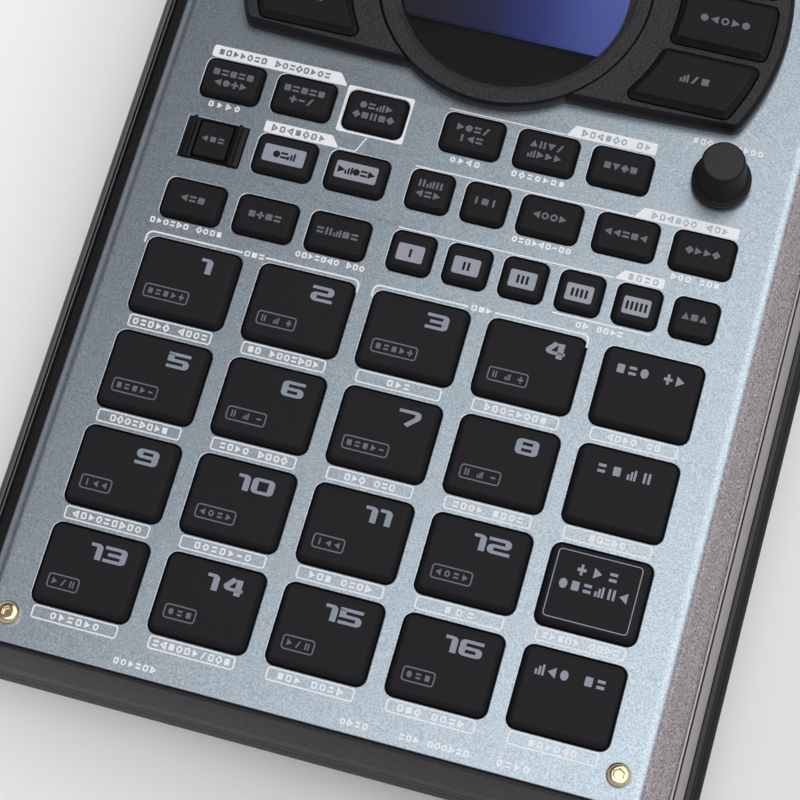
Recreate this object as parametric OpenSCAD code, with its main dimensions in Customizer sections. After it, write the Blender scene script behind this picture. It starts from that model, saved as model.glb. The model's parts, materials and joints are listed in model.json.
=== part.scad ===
// Desk-top sampling drum machine with a pad grid, small keys, a round display and rotary knobs.
// Front of the machine faces -Y, +Z is up, and Z = 0 is the table under the rubber feet.
// Everything that belongs to the sloping top is laid out in the panel's own plane, whose
// origin is the middle of the panel's outer face.

/* [Case] */
// Overall width, at the widest line round the case
case_w = 177.8; // [174:0.1:186]
// Overall depth, along the panel
case_d = 275.8; // [270:0.1:290]
// Slope of the panel from front to back
panel_tilt = 3; // [1:0.5:4]
// Height of the middle of the panel above the table
panel_z = 50; // [48:0.5:56]
// Plan radius of the case corners
corner_r = 5; // [3:0.5:7]
// Wall of the moulded cases
wall = 2.2; // [1.8:0.1:2.8]
// Depth of the parting line below the panel
seam_drop = 22.3; // [21:0.1:24]
// Play at the parting line and between seated pieces
seam_gap = 0.1; // [0.05:0.05:0.3]
// Height of the rubber feet below the base
foot_h = 3.5; // [2.5:0.5:5]
// Radius of a foot
foot_r = 7; // [5:0.5:9]
// Depth of the pocket that a foot sits in
foot_pocket = 0.8; // [0.5:0.1:1.2]
// How far the base pulls in at each side
side_taper = 4; // [2:0.5:6]
// How far the base pulls in at the back
end_taper = 1.5; // [0.5:0.5:3]
// How far the base's front wall stands back under the overhanging front rim
front_tuck = 6.2; // [5:0.1:7]
// Height of the upright edge of that rim
front_rim_h = 0.6; // [0.4:0.1:1]
// Rise of the rim's underside from the front wall to its edge
front_rim_rise = 1.6; // [1:0.1:2]
// Edge bevel round the base
base_bevel = 2; // [1:0.5:3]
// Width of the level land along the front and back rims
lip_w = 0.6; // [0.4:0.05:1]
// Width of the shelf that carries the panel's bent sides
shelf_w = 3.2; // [2.5:0.1:4]

/* [Panel] */
// Thickness of the sheet
sheet_t = 1.2; // [1:0.1:1.6]
// Outer radius of the bends along both sides
bend_r = 2.4; // [1.8:0.1:3]
// Angle of the bent sides below the panel plane
skirt_angle = 62; // [55:1:70]
// Depth of the bent sides
skirt_drop = 11; // [9:0.5:12]
// Width of the shadow groove under the bent sides
groove_w = 1.4; // [1:0.1:2]
// Run of the smooth strip below the groove
strip_w = 3.1; // [2:0.1:4]
// Drop of the smooth strip
strip_drop = 7; // [5:0.5:8]
// Run of the rail at the widest line
rail_w = 2.2; // [1.5:0.1:3]
// Height of the upright edge of the rail
rail_h = 0.8; // [0.5:0.1:1.2]
// Run of the sloping front and back faces
end_run = 3.95; // [3:0.05:6]
// Gap between the panel's cut edges and the case
panel_gap = 0.55; // [0.3:0.05:1]
// Play between the panel and what carries it
seat_gap = 0.1; // [0.05:0.05:0.2]

/* [Pads] */
// Width of a pad at its foot
pad_w = 22.6; // [20:0.1:23.5]
// Depth of a pad at its foot
pad_d = 18.75; // [16:0.05:19.5]
// Corner radius of a pad
pad_r = 1.9; // [1:0.1:3]
// Height of a pad above the panel
pad_h = 3.8; // [3:0.1:5]
// Distance between pad columns
pad_pitch_x = 27.78; // [27.2:0.01:28.2]
// Distance between pad rows
pad_pitch_y = 24.07; // [23.6:0.01:24.6]
// Margin between the panel's front end and the front pad row
pad_margin = 11.015; // [10:0.005:12]
// Travel of a pad
pad_travel = 1; // [0.6:0.1:1.2]

/* [Keys] */
// Width of a wide key
key_w = 14.1; // [12:0.1:15]
// Width of a small key
small_key_w = 9.95; // [8:0.05:11]
// Depth of every key
key_d = 9.7; // [8:0.1:11]
// Corner radius of a key
key_r = 1.6; // [1:0.1:2.5]
// Height of a key above the panel
key_h = 3; // [2:0.1:4]
// Distance from the rear pad row to the front key row
key_step = 20.25; // [19.5:0.05:21]
// Distance between key rows
key_pitch_y = 16.1; // [15.5:0.05:16.6]
// Place of the first key column left of the middle
left_keys_x = 59.8; // [59:0.1:60.5]
// Distance between the keys of the left block
left_pitch_x = 17.9; // [17:0.1:18.5]
// Distance between the wide keys of the right block
right_pitch_x = 18.05; // [17.5:0.05:18.6]
// Place of the first wide key of the middle row in the right block
mode_keys_x = 23.15; // [22.5:0.05:24]
// Distance between the wide keys of the middle row in the right block
mode_pitch_x = 18.3; // [17.8:0.05:18.6]
// Place of the first small key left of the middle
small_keys_x = 6; // [5.5:0.1:6.5]
// Distance between small keys
small_pitch_x = 13.54; // [13:0.02:14]
// Travel of a key
key_travel = 1; // [0.6:0.1:1.2]
// Width of the guarded key
guard_key_w = 8.2; // [7:0.1:9]
// Width of the guard round it
guard_w = 14.8; // [14:0.1:15.5]
// Depth of the guard round it
guard_d = 10.4; // [9.6:0.1:11.4]
// Height of the guard above the panel
guard_h = 2.6; // [1.5:0.1:3.5]

/* [Fits] */
// Gap round a pad or a key in its hole
key_gap = 0.35; // [0.25:0.05:0.5]
// Width of the flange that keeps a key under the panel
flange_w = 1.1; // [0.8:0.1:1.2]
// Thickness of that flange
flange_t = 1.2; // [0.8:0.1:1.5]
// Gap between a flange and the panel over it
flange_gap = 0.3; // [0.2:0.05:0.5]
// Radius of the plunger under a key
plunger_r = 1.5; // [1:0.1:2]
// Radial running clearance of a shaft
shaft_gap = 0.06; // [0.03:0.01:0.1]

/* [Effect section] */
// Distance from the rear key row to the middle of the display
effect_step = 41.05; // [40.5:0.05:42]
// Height of the effect section above the panel
effect_h = 4.3; // [3:0.1:5]
// Radius of its side arcs
effect_arc_r = 57.6; // [56:0.1:59]
// Offset of the side arcs' centres from the middle
effect_arc_x = 9.1; // [8:0.1:10]
// Half of its depth, at the middle
effect_half_d = 27.5; // [27:0.1:28]
// Radius of its bowed front and back edges
effect_bow_r = 1200; // [800:50:2000]
// Rounding of its corners
effect_corner_r = 3; // [2:0.5:4]
// Bevel round its upper edge
effect_bevel = 1; // [0.5:0.1:1.5]
// Radius of the ring round the display
ring_r = 33.5; // [33:0.1:34]
// Height of the base that the ring stands on
ring_base_h = 1; // [0.8:0.1:1.5]
// Radius of the display lens
lens_r = 29.3; // [28:0.1:30]
// Thickness of the lens
lens_t = 1.5; // [1:0.1:2]
// Depth of the lens below the ring's face
lens_sink = 0.3; // [0.2:0.05:0.5]
// Half depth of the screen glass
screen_half_d = 15.8; // [14:0.1:18]
// Radius of the effect keys' inner ends, about the display
effect_key_in = 40.8; // [40:0.1:42]
// Margin between the effect keys and the section's side arcs
effect_key_margin = 3.6; // [3:0.1:4.5]
// Depth of the middle effect key
effect_key_mid = 14.9; // [14:0.1:15.5]
// Depth of the outer effect keys
effect_key_out = 13; // [12:0.1:13.5]
// Gap between two effect keys
effect_key_space = 2.9; // [2.5:0.1:3.5]
// Corner radius of the effect keys
effect_key_r = 1.6; // [1:0.1:2.2]
// Height of an effect key above its section
effect_key_h = 1.8; // [1.6:0.1:2.5]
// Travel of an effect key
effect_travel = 1; // [0.6:0.1:1.2]

/* [Knobs] */
// Distance of the knob row in front of the middle of the band behind the display
knob_row_shift = 2.8; // [0:0.1:4]
// Distance between the knobs
knob_pitch = 36; // [34:0.5:38]
// Radius of a knob at its foot
knob_r = 7.4; // [6:0.1:8]
// Height of a knob above the panel
knob_h = 15; // [12:0.5:16]
// Radius of the shafts
shaft_r = 3; // [2.5:0.1:3.2]
// Place of the encoder right of the middle
encoder_x = 59.65; // [58:0.05:61]
// Distance of the encoder behind the rear key row
encoder_step = 2.65; // [2:0.05:4]
// Radius of the encoder's disc foot
encoder_foot_r = 7; // [6:0.1:7.5]
// Radius of the encoder knob above its foot
encoder_r = 5.8; // [5:0.1:6.2]
// Height of the encoder knob above the panel
encoder_h = 12.6; // [10:0.1:14]
// Push travel of the encoder
encoder_travel = 0.8; // [0.5:0.1:0.9]
// Clearance of a knob over the panel
knob_lift = 1.2; // [1.2:0.1:2]

/* [Boards] */
// Depth of the main board's face below the panel
board_drop = 9; // [8.5:0.1:10]
// Thickness of the boards
board_t = 1.6; // [1.2:0.2:2]
// Margin between the main board and the panel's bent sides
board_margin = 6.2; // [6.2:0.1:10]
// Margin between the main board and the bosses of the panel screws
board_end_gap = 1.6; // [1:0.1:4]
// Footprint of a potentiometer
pot_w = 10; // [9:0.5:11]
// Height of a potentiometer's case
pot_h = 6.5; // [5.5:0.1:7]
// Radius of a potentiometer's bush
bush_r = 3.8; // [3.6:0.05:4]
// Thickness of the potentiometer floor under a shaft
pot_floor = 0.8; // [0.5:0.1:1.2]

/* [Sockets] */
// Radius of a quarter inch socket's bore
jack_bore_r = 3.25; // [3.2:0.01:3.4]
// Outer radius of a quarter inch socket's nose
jack_nose_r = 5.2; // [4.8:0.1:5.5]
// Width of a quarter inch socket's body
jack_w = 12.5; // [12:0.1:12.7]
// Length of a quarter inch socket's body
jack_l = 26; // [24:0.5:30]
// Length of a socket's nose, through the wall
nose_l = 4.4; // [4.3:0.1:5]
// Radius of a small socket's bore
mini_bore_r = 1.8; // [1.75:0.01:1.9]
// Outer radius of a small socket's nose
mini_nose_r = 3; // [2.8:0.1:3.4]
// Width of a small socket's body
mini_w = 8; // [7:0.1:9]
// Length of a small socket's body
mini_l = 13; // [11:0.5:14]
// Play round a socket in its wall
socket_gap = 0.3; // [0.2:0.05:0.4]
// Distance of the front sockets' mouths behind the front wall's face
front_sink = 0.2; // [0.1:0.1:0.4]
// Distance of the back sockets' mouths in front of the widest line
back_sink = 1.8; // [1.7:0.1:2.2]
// Height of the front sockets' axes above the table
front_axis_z = 12.3; // [12.2:0.1:12.4]
// Height of the back sockets' axes above the table
back_axis_z = 18; // [17.5:0.5:20]
// Place of the quarter inch headphone socket left of the middle
phones_x = 44; // [42:0.5:46]
// Place of the small headphone socket left of the middle
small_phones_x = 30; // [29:0.5:31]
// Place of the gain knob right of the middle
gain_x = 12; // [10:0.5:14]
// Place of the input selector right of the middle
selector_x = 28; // [27:0.5:30]
// Place of the input socket right of the middle
input_x = 48; // [46:0.5:50]
// Distance from the input socket to the end of the front board
front_board_end = 13; // [12:0.5:15]
// Radius of the gain knob
gain_r = 4; // [3.5:0.1:4.5]
// Radius of the gain knob's shaft
gain_shaft_r = 1.5; // [1.2:0.1:1.6]
// Travel of the slide switches
switch_travel = 4; // [3:0.5:5]
// Width of the input selector's lever
selector_w = 4; // [3:0.1:5]
// Height of the input selector's lever
selector_h = 2.8; // [2.4:0.1:3]
// Distance of the power switch from the right side
power_inset = 14.9; // [14.5:0.1:16]
// Width of the power switch's lever
power_w = 6; // [5:0.1:7]
// Height of the power switch's lever
power_h = 4; // [3.5:0.1:4.4]
// Distance between the power switch, the power inlet and the data socket
inlet_pitch = 12.5; // [12:0.1:13]
// Outer radius of the power inlet
dc_r = 4.4; // [4:0.1:4.6]
// Wall of the power inlet
dc_wall = 1.4; // [1:0.1:1.6]
// Radius of the power inlet's centre pin
dc_pin_r = 1; // [0.8:0.1:1.2]
// Width of the data socket
usb_w = 9; // [8.8:0.1:9.4]
// Height of the data socket
usb_h = 3.3; // [3:0.1:3.6]
// Distance from the data socket to the first small socket
midi_step = 11; // [10:0.1:12]
// Distance between the two small sockets
midi_pitch = 10; // [9.5:0.1:11]
// Place of the first line socket right of the middle
line_first_x = 13; // [12:0.5:14]
// Distance between the two sockets of a pair
line_pitch = 17; // [16:0.5:18]
// Distance between the two pairs of line sockets
line_pair_pitch = 37; // [36:0.5:38]
// Distance of the card socket from the left side
card_inset = 24.4; // [24:0.1:26]
// Width of the card socket
card_w = 25; // [24:0.5:26]
// Height of the card socket's mouth
card_h = 2.2; // [2.1:0.1:2.6]
// Length of the card socket
card_l = 26; // [24:0.5:30]

/* [Battery bay] */
// Inside width of the battery bay
bay_w = 100; // [92:1:104]
// Inside depth of the battery bay
bay_d = 56; // [54:1:60]
// Inside height of the battery bay above the door
bay_h = 16.5; // [16:0.5:18]
// Place of the bay's middle behind the case's middle
bay_y = 50; // [44:1:54]
// Thickness of the battery door
door_t = 2; // [1.8:0.1:2.4]
// Play round the battery door
door_gap = 0.4; // [0.3:0.05:0.6]
// Width of the ledge that the battery door closes on
door_ledge = 3; // [2.5:0.5:4]

/* [Fasteners] */
// Distance of the panel screws from the panel's folded sides
screw_inset_x = 11.4; // [11:0.1:12]
// Distance of the panel screws from the panel's ends
screw_inset_y = 6.6; // [6.4:0.1:7.5]
// Radius of a panel screw's head
screw_head_r = 2.8; // [2.5:0.1:3.2]
// Height of a panel screw's head
screw_head_h = 1.8; // [1.5:0.1:2.2]
// Radius of the screw shanks
screw_r = 1.45; // [1.3:0.05:1.6]
// Play round a screw shank
screw_gap = 0.15; // [0.1:0.05:0.3]
// Radius of the bosses that take screws
boss_r = 3.6; // [3.3:0.1:4]
// Length of the panel screws' shanks
screw_l = 8; // [6:0.5:9]
// Length of the case screws' shanks
base_screw_l = 11; // [9:0.5:12]
// Distance of the case posts from the main board's sides
post_inset_x = 9; // [7.5:0.5:10]
// Distance of the front posts from the main board's front edge
post_inset_front = 13; // [10:0.5:16]
// Distance of the back posts from the main board's back edge
post_inset_back = 23; // [20:0.5:26]
// Place of the middle posts in front of the panel's middle
post_mid_y = 12; // [8:0.5:14]
// Width of the ribs that brace the screw bosses
rib_w = 2; // [1.5:0.1:2.5]

/* [Hidden] */
$fn = 48;
hull_fn = 20;
cut = 1;

// Half sizes of the case's outline at each level of its side profile
rail_x = case_w / 2;
strip_x = rail_x - rail_w;
ledge_x = strip_x - strip_w;
skirt_x = ledge_x - groove_w;
shoulder_x = skirt_x - skirt_drop / tan(skirt_angle);
flat_x = skirt_x - (skirt_drop - bend_r * (1 - cos(skirt_angle))) / tan(skirt_angle)
    - bend_r * sin(skirt_angle);
end_y = case_d / 2;
top_end_y = end_y - end_run;
seat_end_y = top_end_y - lip_w;
panel_end_y = seat_end_y - panel_gap;
rail_drop = seam_drop - rail_h;
strip_end = skirt_drop + strip_drop;
shelf_drop = skirt_drop + 3 * seat_gap;
panel_y = -rail_drop * sin(panel_tilt);

// Places of the rows and columns
pad_x = [for (c = [-2:2]) c * pad_pitch_x];
pad_y = [for (r = [0:3]) pad_margin + pad_d / 2 - panel_end_y + (3 - r) * pad_pitch_y];
key_y = [for (r = [0:2]) pad_y[0] + key_step + (2 - r) * key_pitch_y];
effect_y = key_y[0] + effect_step;
encoder_y = key_y[0] + encoder_step;
left_x = [for (i = [0:2]) -left_keys_x + i * left_pitch_x];
edit_x = [for (i = [0:2]) i * right_pitch_x];
mode_x = [for (i = [0:2]) mode_keys_x + i * mode_pitch_x];
small_x = [for (i = [0:5]) -small_keys_x + i * small_pitch_x];
knob_x = [for (i = [0:3]) (i - 1.5) * knob_pitch];
knob_row_y = (effect_y + effect_half_d + panel_end_y) / 2 - knob_row_shift;

// Layers under the panel
flange_top = -sheet_t - flange_gap;
flange_bottom = flange_top - flange_t;
board_top = -board_drop;

// Main board, the screws round it and the posts under it
screw_x = skirt_x - screw_inset_x;
screw_y = panel_end_y - screw_inset_y;
board_half_w = skirt_x - board_margin;
board_half_d = screw_y - boss_r - board_end_gap;
post_x = board_half_w - post_inset_x;
post_y = [post_inset_front - board_half_d, -post_mid_y, board_half_d - post_inset_back];
post_r = boss_r + 0.8;
jack_post_r = boss_r - 1;

// Walls and mouths of the sockets
floor_z = foot_h + wall;
front_wall_y = front_tuck - end_y;
back_y = end_y * cos(panel_tilt);
front_mouth_y = front_wall_y + front_sink;
back_mouth_y = end_y - back_sink;
wall_reach = 8;
foot_x = rail_x - side_taper - base_bevel - foot_r - 5;
foot_inset_y = base_bevel + foot_r + 4;
foot_y = [front_wall_y + foot_inset_y, (end_y - end_taper) * cos(panel_tilt) - foot_inset_y];
base_sink = 3;
gain_pot_y = 6.6;
selector_depth = 6;
power_depth = 7;
encoder_floor = 0.3;
encoder_roof = 3.2;
front_post_x = input_x + front_board_end - 4;
back_board_x = rail_x - side_taper - wall - 0.3;
back_post_x = back_board_x - 2.4;

// Places of the sockets on the back, from right to left as seen from the front
power_x = rail_x - power_inset;
dc_x = power_x - inlet_pitch;
usb_x = dc_x - inlet_pitch;
midi_x = [for (i = [0, 1]) usb_x - midi_step - i * midi_pitch];
line_x = [for (pair = [0, 1], i = [0, 1]) line_first_x - pair * line_pair_pitch - i * line_pitch];
card_x = card_inset - rail_x;

// Moves its children into the panel's plane
module on_panel() {
    translate([0, panel_y, panel_z]) rotate([panel_tilt, 0, 0]) children();
}

// Rectangle with true round corners
module rounded(w, d, r) {
    square([w - 2 * r, d], center = true);
    square([w, d - 2 * r], center = true);
    for (x = [-1, 1], y = [-1, 1]) translate([x * (w / 2 - r), y * (d / 2 - r)]) circle(r);
}

module slab(w, d, r, z0, z1) {
    translate([0, 0, z0]) linear_extrude(z1 - z0) rounded(w, d, r);
}

// Thin slice of the case's plan, the base of its hulled walls
module plan(half_w, half_d, z, r = corner_r) {
    translate([0, 0, z]) linear_extrude(0.01) rounded(2 * half_w, 2 * half_d, r, $fn = 32);
}

function end_at(drop) = top_end_y + end_run * min(drop, rail_drop) / rail_drop;

module box(x0, x1, y0, y1, z0, z1) {
    translate([x0, y0, z0]) cube([x1 - x0, y1 - y0, z1 - z0]);
}

// Half outline of the bent sheet: the flat, the bend and the skirt, offset inwards by t
bend_steps = 8;
function sheet_edge(t) = concat(
    [for (i = [0:bend_steps]) [flat_x + (bend_r - t) * sin(skirt_angle * i / bend_steps),
                               -bend_r + (bend_r - t) * cos(skirt_angle * i / bend_steps)]],
    [[skirt_x - t / sin(skirt_angle), -skirt_drop]]);

function mirrored(points) = [for (i = [len(points) - 1:-1:0]) [-points[i][0], points[i][1]]];

// Everything above the sheet's inner face, for the seat in the case's ends
module sheet_seat(half_l) {
    inner = sheet_edge(sheet_t + seat_gap);
    last = inner[len(inner) - 1];
    rotate([90, 0, 0]) linear_extrude(2 * half_l, center = true)
        polygon(concat([[ledge_x, cut], [ledge_x, -shelf_drop], [last[0], -shelf_drop]],
                       [for (i = [len(inner) - 1:-1:0]) inner[i]],
                       [for (p = inner) [-p[0], p[1]]],
                       [[-last[0], -shelf_drop], [-ledge_x, -shelf_drop], [-ledge_x, cut]]));
}

// Drafted button with a rounded upper edge, from z = 0 up to h
module cap(w, d, r, h, edge = 0.9) {
    draft = edge / 4;
    hull($fn = hull_fn) {
        linear_extrude(0.01) rounded(w, d, r);
        translate([0, 0, h - edge])
            linear_extrude(0.01) rounded(w - 2 * draft, d - 2 * draft, r);
        translate([0, 0, h - edge / 3])
            linear_extrude(0.01) rounded(w - 2 * draft - edge * 0.6, d - 2 * draft - edge * 0.6, r);
        translate([0, 0, h - 0.01])
            linear_extrude(0.01) rounded(w - 2 * draft - 2 * edge, d - 2 * draft - 2 * edge, r * 0.7);
    }
}

// Button in the panel: cap above, flange under the sheet and plunger over the board
module panel_button(x, y, w, d, r, h, travel) {
    translate([x, y, 0]) {
        translate([0, 0, flange_top]) cap(w, d, r, h - flange_top);
        slab(w + 2 * flange_w, d + 2 * flange_w, r, flange_bottom, flange_top + 0.01);
        translate([0, 0, board_top + travel + flange_gap])
            cylinder(r = plunger_r, h = flange_bottom - board_top - travel - flange_gap + 0.01);
    }
}

module pad(column, row) {
    color([0.15, 0.15, 0.16]) on_panel()
        panel_button(pad_x[column], pad_y[row], pad_w, pad_d, pad_r, pad_h, pad_travel);
}

module key(x, row, w) {
    color([0.14, 0.14, 0.15]) on_panel()
        panel_button(x, key_y[row], w, key_d, key_r, key_h, key_travel);
}

module key_hole(x, y, w, d, r) {
    translate([x, y]) rounded(w + 2 * key_gap, d + 2 * key_gap, r + key_gap);
}

// All openings in the flat of the panel
module panel_holes() {
    for (x = pad_x, y = pad_y) key_hole(x, y, pad_w, pad_d, pad_r);
    for (x = left_x) key_hole(x, key_y[0], key_w, key_d, key_r);
    for (x = [left_x[1], left_x[2]]) key_hole(x, key_y[1], key_w, key_d, key_r);
    for (x = left_x) key_hole(x, key_y[2], key_w, key_d, key_r);
    for (x = edit_x) key_hole(x, key_y[0], key_w, key_d, key_r);
    for (x = mode_x) key_hole(x, key_y[1], key_w, key_d, key_r);
    for (x = [small_x[0], small_x[1]]) key_hole(x, key_y[1], small_key_w, key_d, key_r);
    for (x = small_x) key_hole(x, key_y[2], small_key_w, key_d, key_r);
    translate([left_x[0], key_y[1]])
        square([guard_w + 2 * seat_gap, guard_d + 2 * seat_gap], center = true);
    for (x = knob_x) translate([x, knob_row_y]) circle(bush_r + socket_gap);
    translate([encoder_x, encoder_y]) circle(bush_r + socket_gap);
    for (x = [-1, 1], y = [-1, 1]) translate([x * screw_x, y * screw_y]) circle(screw_r + screw_gap);
    translate([0, effect_y]) circle(lens_r);
    for (side = [-1, 1]) translate([0, effect_y]) effect_opening(side);
}

// Opening in the sheet under the three effect keys of one side
module effect_opening(side) {
    margin = key_gap + flange_w + 2 * seat_gap;
    far = effect_arc_r - effect_key_margin + margin;
    depth = effect_key_mid + 2 * (effect_key_space + effect_key_out + margin);
    difference() {
        intersection() {
            translate([side * effect_arc_x, 0]) circle(far);
            translate([side * (far + effect_arc_x) / 2, 0])
                square([far + effect_arc_x, depth], center = true);
        }
        circle(effect_key_in - margin);
    }
}

module top_panel() {
    inner = [for (i = [bend_steps + 1:-1:0]) sheet_edge(sheet_t)[i]];
    outline = concat(sheet_edge(0), inner, mirrored(inner), mirrored(sheet_edge(0)));
    color([0.55, 0.6, 0.64]) on_panel() difference() {
        rotate([90, 0, 0]) linear_extrude(2 * panel_end_y, center = true) polygon(outline);
        translate([0, 0, -sheet_t - cut]) linear_extrude(sheet_t + 2 * cut) panel_holes();
    }
}

// Points along an arc, from angle a0 to a1
function arc(centre, r, a0, a1, n) =
    [for (i = [0:n]) centre + r * [cos(a0 + (a1 - a0) * i / n), sin(a0 + (a1 - a0) * i / n)]];

function direction(from, to) = atan2(to[1] - from[1], to[0] - from[0]);

// The crossing of two circles that lies to the right of the way from c1 to c2
function crossing(c1, r1, c2, r2) =
    let (d = norm(c2 - c1), along = (c2 - c1) / d, a = (r1 * r1 - r2 * r2 + d * d) / (2 * d))
    c1 + a * along + sqrt(r1 * r1 - a * a) * [along[1], -along[0]];

// Quarter of the effect section's outline: bowed edge, round corner, side arc
function effect_quarter(inset) =
    let (side = [effect_arc_x, 0], side_r = effect_arc_r - inset, round_r = effect_corner_r - inset / 2,
         bow = [0, effect_half_d - effect_bow_r], bow_r = effect_bow_r - inset,
         middle = crossing(bow, bow_r - round_r, side, side_r - round_r),
         corner = [abs(middle[0]), abs(middle[1])],
         bow_a = direction(bow, corner), side_a = direction(side, corner))
    concat(arc(side, side_r, 0, side_a, 12), arc(corner, round_r, side_a, bow_a, 6),
           arc(bow, bow_r, bow_a, 90, 4));

// Whole outline of the effect section, mirrored from its quarter
function effect_outline(inset = 0) =
    let (q = effect_quarter(inset), n = len(q))
    concat(q, [for (i = [n - 2:-1:0]) [-q[i][0], q[i][1]]],
           [for (i = [1:n - 1]) [-q[i][0], -q[i][1]]], [for (i = [n - 2:-1:1]) [q[i][0], -q[i][1]]]);

effect_rows = [for (row = [-1:1]) row * (effect_key_mid / 2 + effect_key_space + effect_key_out / 2)];

// Outline of a right-hand effect key: a slice between the display and the side arc
function effect_key_outline(row, inset = 0) =
    let (half = (row == 0 ? effect_key_mid : effect_key_out) / 2 - inset, y = effect_rows[row + 1],
         r = max(0.5, effect_key_r - inset), side = [effect_arc_x, 0],
         far = effect_arc_r - effect_key_margin - inset, near = effect_key_in + inset,
         low = y - half + r, high = y + half - r,
         far_low = [effect_arc_x + sqrt(pow(far - r, 2) - low * low), low],
         far_high = [effect_arc_x + sqrt(pow(far - r, 2) - high * high), high],
         near_low = [sqrt(pow(near + r, 2) - low * low), low],
         near_high = [sqrt(pow(near + r, 2) - high * high), high])
    concat(arc(far_low, r, -90, direction(side, far_low), 4),
           arc(side, far, direction(side, far_low), direction(side, far_high), 4),
           arc(far_high, r, direction(side, far_high), 90, 4),
           arc(near_high, r, 90, direction([0, 0], near_high) + 180, 4),
           arc([0, 0], near, direction([0, 0], near_high), direction([0, 0], near_low), 4),
           arc(near_low, r, direction([0, 0], near_low) + 180, 270, 4));

// Prism on an outline between two heights, mirrored to the left for side = -1
module prism(points, z0, z1, side = 1) {
    mirror([side < 0 ? 1 : 0, 0, 0]) translate([0, 0, z0]) linear_extrude(z1 - z0) polygon(points);
}

// Raised section round the display: bevelled wings on one base that also carries the ring
module effect_bezel() {
    ledge = 1.2;
    color([0.2, 0.21, 0.22]) on_panel() translate([0, effect_y, 0]) difference() {
        union() {
            hull() {
                prism(effect_outline(), seat_gap, effect_h - effect_bevel);
                prism(effect_outline(effect_bevel), effect_h - 0.01, effect_h);
            }
            translate([0, 0, seat_gap]) cylinder(r = ring_r, h = ring_base_h - seat_gap, $fn = 96);
        }
        translate([0, 0, ring_base_h]) cylinder(r = ring_r + seat_gap, h = effect_h, $fn = 96);
        translate([0, 0, -cut]) cylinder(r = lens_r - ledge, h = effect_h + 2 * cut, $fn = 96);
        for (side = [-1, 1], row = [-1:1]) {
            prism(effect_key_outline(row, -key_gap), -cut, effect_h + cut, side);
            prism(effect_key_outline(row, -key_gap - flange_w - seat_gap), -cut, effect_h - wall, side);
        }
    }
}

// Cap of an effect key, with its flange under the bezel and its plunger over the board
module effect_key(side, row) {
    flange_z = effect_h - wall - flange_gap;
    top_z = effect_h + effect_key_h;
    middle = (effect_key_in + effect_arc_x + effect_arc_r - effect_key_margin) / 2;
    plunger_z = board_top + effect_travel + flange_gap;
    color([0.14, 0.14, 0.15]) on_panel() translate([0, effect_y, 0]) {
        hull() {
            prism(effect_key_outline(row), flange_z, flange_z + 0.01, side);
            prism(effect_key_outline(row, 0.2), top_z - 0.8, top_z - 0.79, side);
            prism(effect_key_outline(row, 0.55), top_z - 0.25, top_z - 0.24, side);
            prism(effect_key_outline(row, 1.1), top_z - 0.01, top_z, side);
        }
        prism(effect_key_outline(row, -flange_w), flange_z - flange_t, flange_z + 0.01, side);
        translate([side * middle, effect_rows[row + 1], plunger_z])
            cylinder(r = plunger_r, h = flange_z - flange_t - plunger_z + 0.01);
    }
}

module display_ring() {
    chamfer = 0.5;
    lip = 1.2;
    color([0.22, 0.23, 0.24]) on_panel() translate([0, effect_y, 0]) rotate_extrude($fn = 96)
        polygon([[lens_r + seat_gap, effect_h - chamfer], [lens_r + seat_gap + chamfer, effect_h],
                 [ring_r - chamfer, effect_h], [ring_r, effect_h - chamfer], [ring_r, ring_base_h + seat_gap],
                 [lens_r - lip, ring_base_h + seat_gap],
                 [lens_r - lip, effect_h - lens_sink - lens_t - seat_gap],
                 [lens_r + seat_gap, effect_h - lens_sink - lens_t - seat_gap]]);
}

module display_lens() {
    color([0.3, 0.32, 0.36, 0.5]) on_panel() translate([0, effect_y, effect_h - lens_sink - lens_t])
        cylinder(r = lens_r, h = lens_t, $fn = 96);
}

// Screen glass on its carrier, standing on the main board inside the ring
module screen_module() {
    glass_top = effect_h - lens_sink - lens_t - 2 * seat_gap;
    glass_t = 1.6;
    tray_r = lens_r - 1.5;
    color([0.05, 0.05, 0.07]) on_panel() translate([0, effect_y, 0]) {
        translate([0, 0, board_top]) cylinder(r = tray_r, h = glass_top - glass_t - board_top);
        intersection() {
            translate([0, 0, glass_top - glass_t - 0.01]) cylinder(r = tray_r, h = glass_t + 0.01);
            box(-tray_r, tray_r, -screen_half_d, screen_half_d, 0, glass_top);
        }
    }
}

// Fixed shroud with two raised walls beside the recessed key
module key_guard() {
    inner = guard_key_w + 2 * key_gap;
    side = (guard_w - inner) / 2;
    color([0.1, 0.1, 0.11]) on_panel() translate([left_x[0], key_y[1], 0]) difference() {
        union() {
            box(-guard_w / 2, guard_w / 2, -guard_d / 2, guard_d / 2, flange_bottom, seat_gap * 3);
            for (x = [-1, 1]) translate([x * (guard_w - side) / 2, 0, 0]) rotate([90, 0, 0])
                linear_extrude(guard_d, center = true)
                    polygon([[-side / 2, 0], [side / 2, 0], [side / 2, guard_h * 0.55],
                             [side / 2 - 0.5, guard_h], [-side / 2 + 0.5, guard_h], [-side / 2, guard_h * 0.55]]);
            box(-guard_w / 2 - flange_w, guard_w / 2 + flange_w, -guard_d / 2 - flange_w,
                guard_d / 2 + flange_w, flange_bottom, -sheet_t - seat_gap);
        }
        box(-inner / 2, inner / 2, -key_d / 2, key_d / 2, flange_bottom - cut, guard_h + cut);
    }
}

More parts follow.
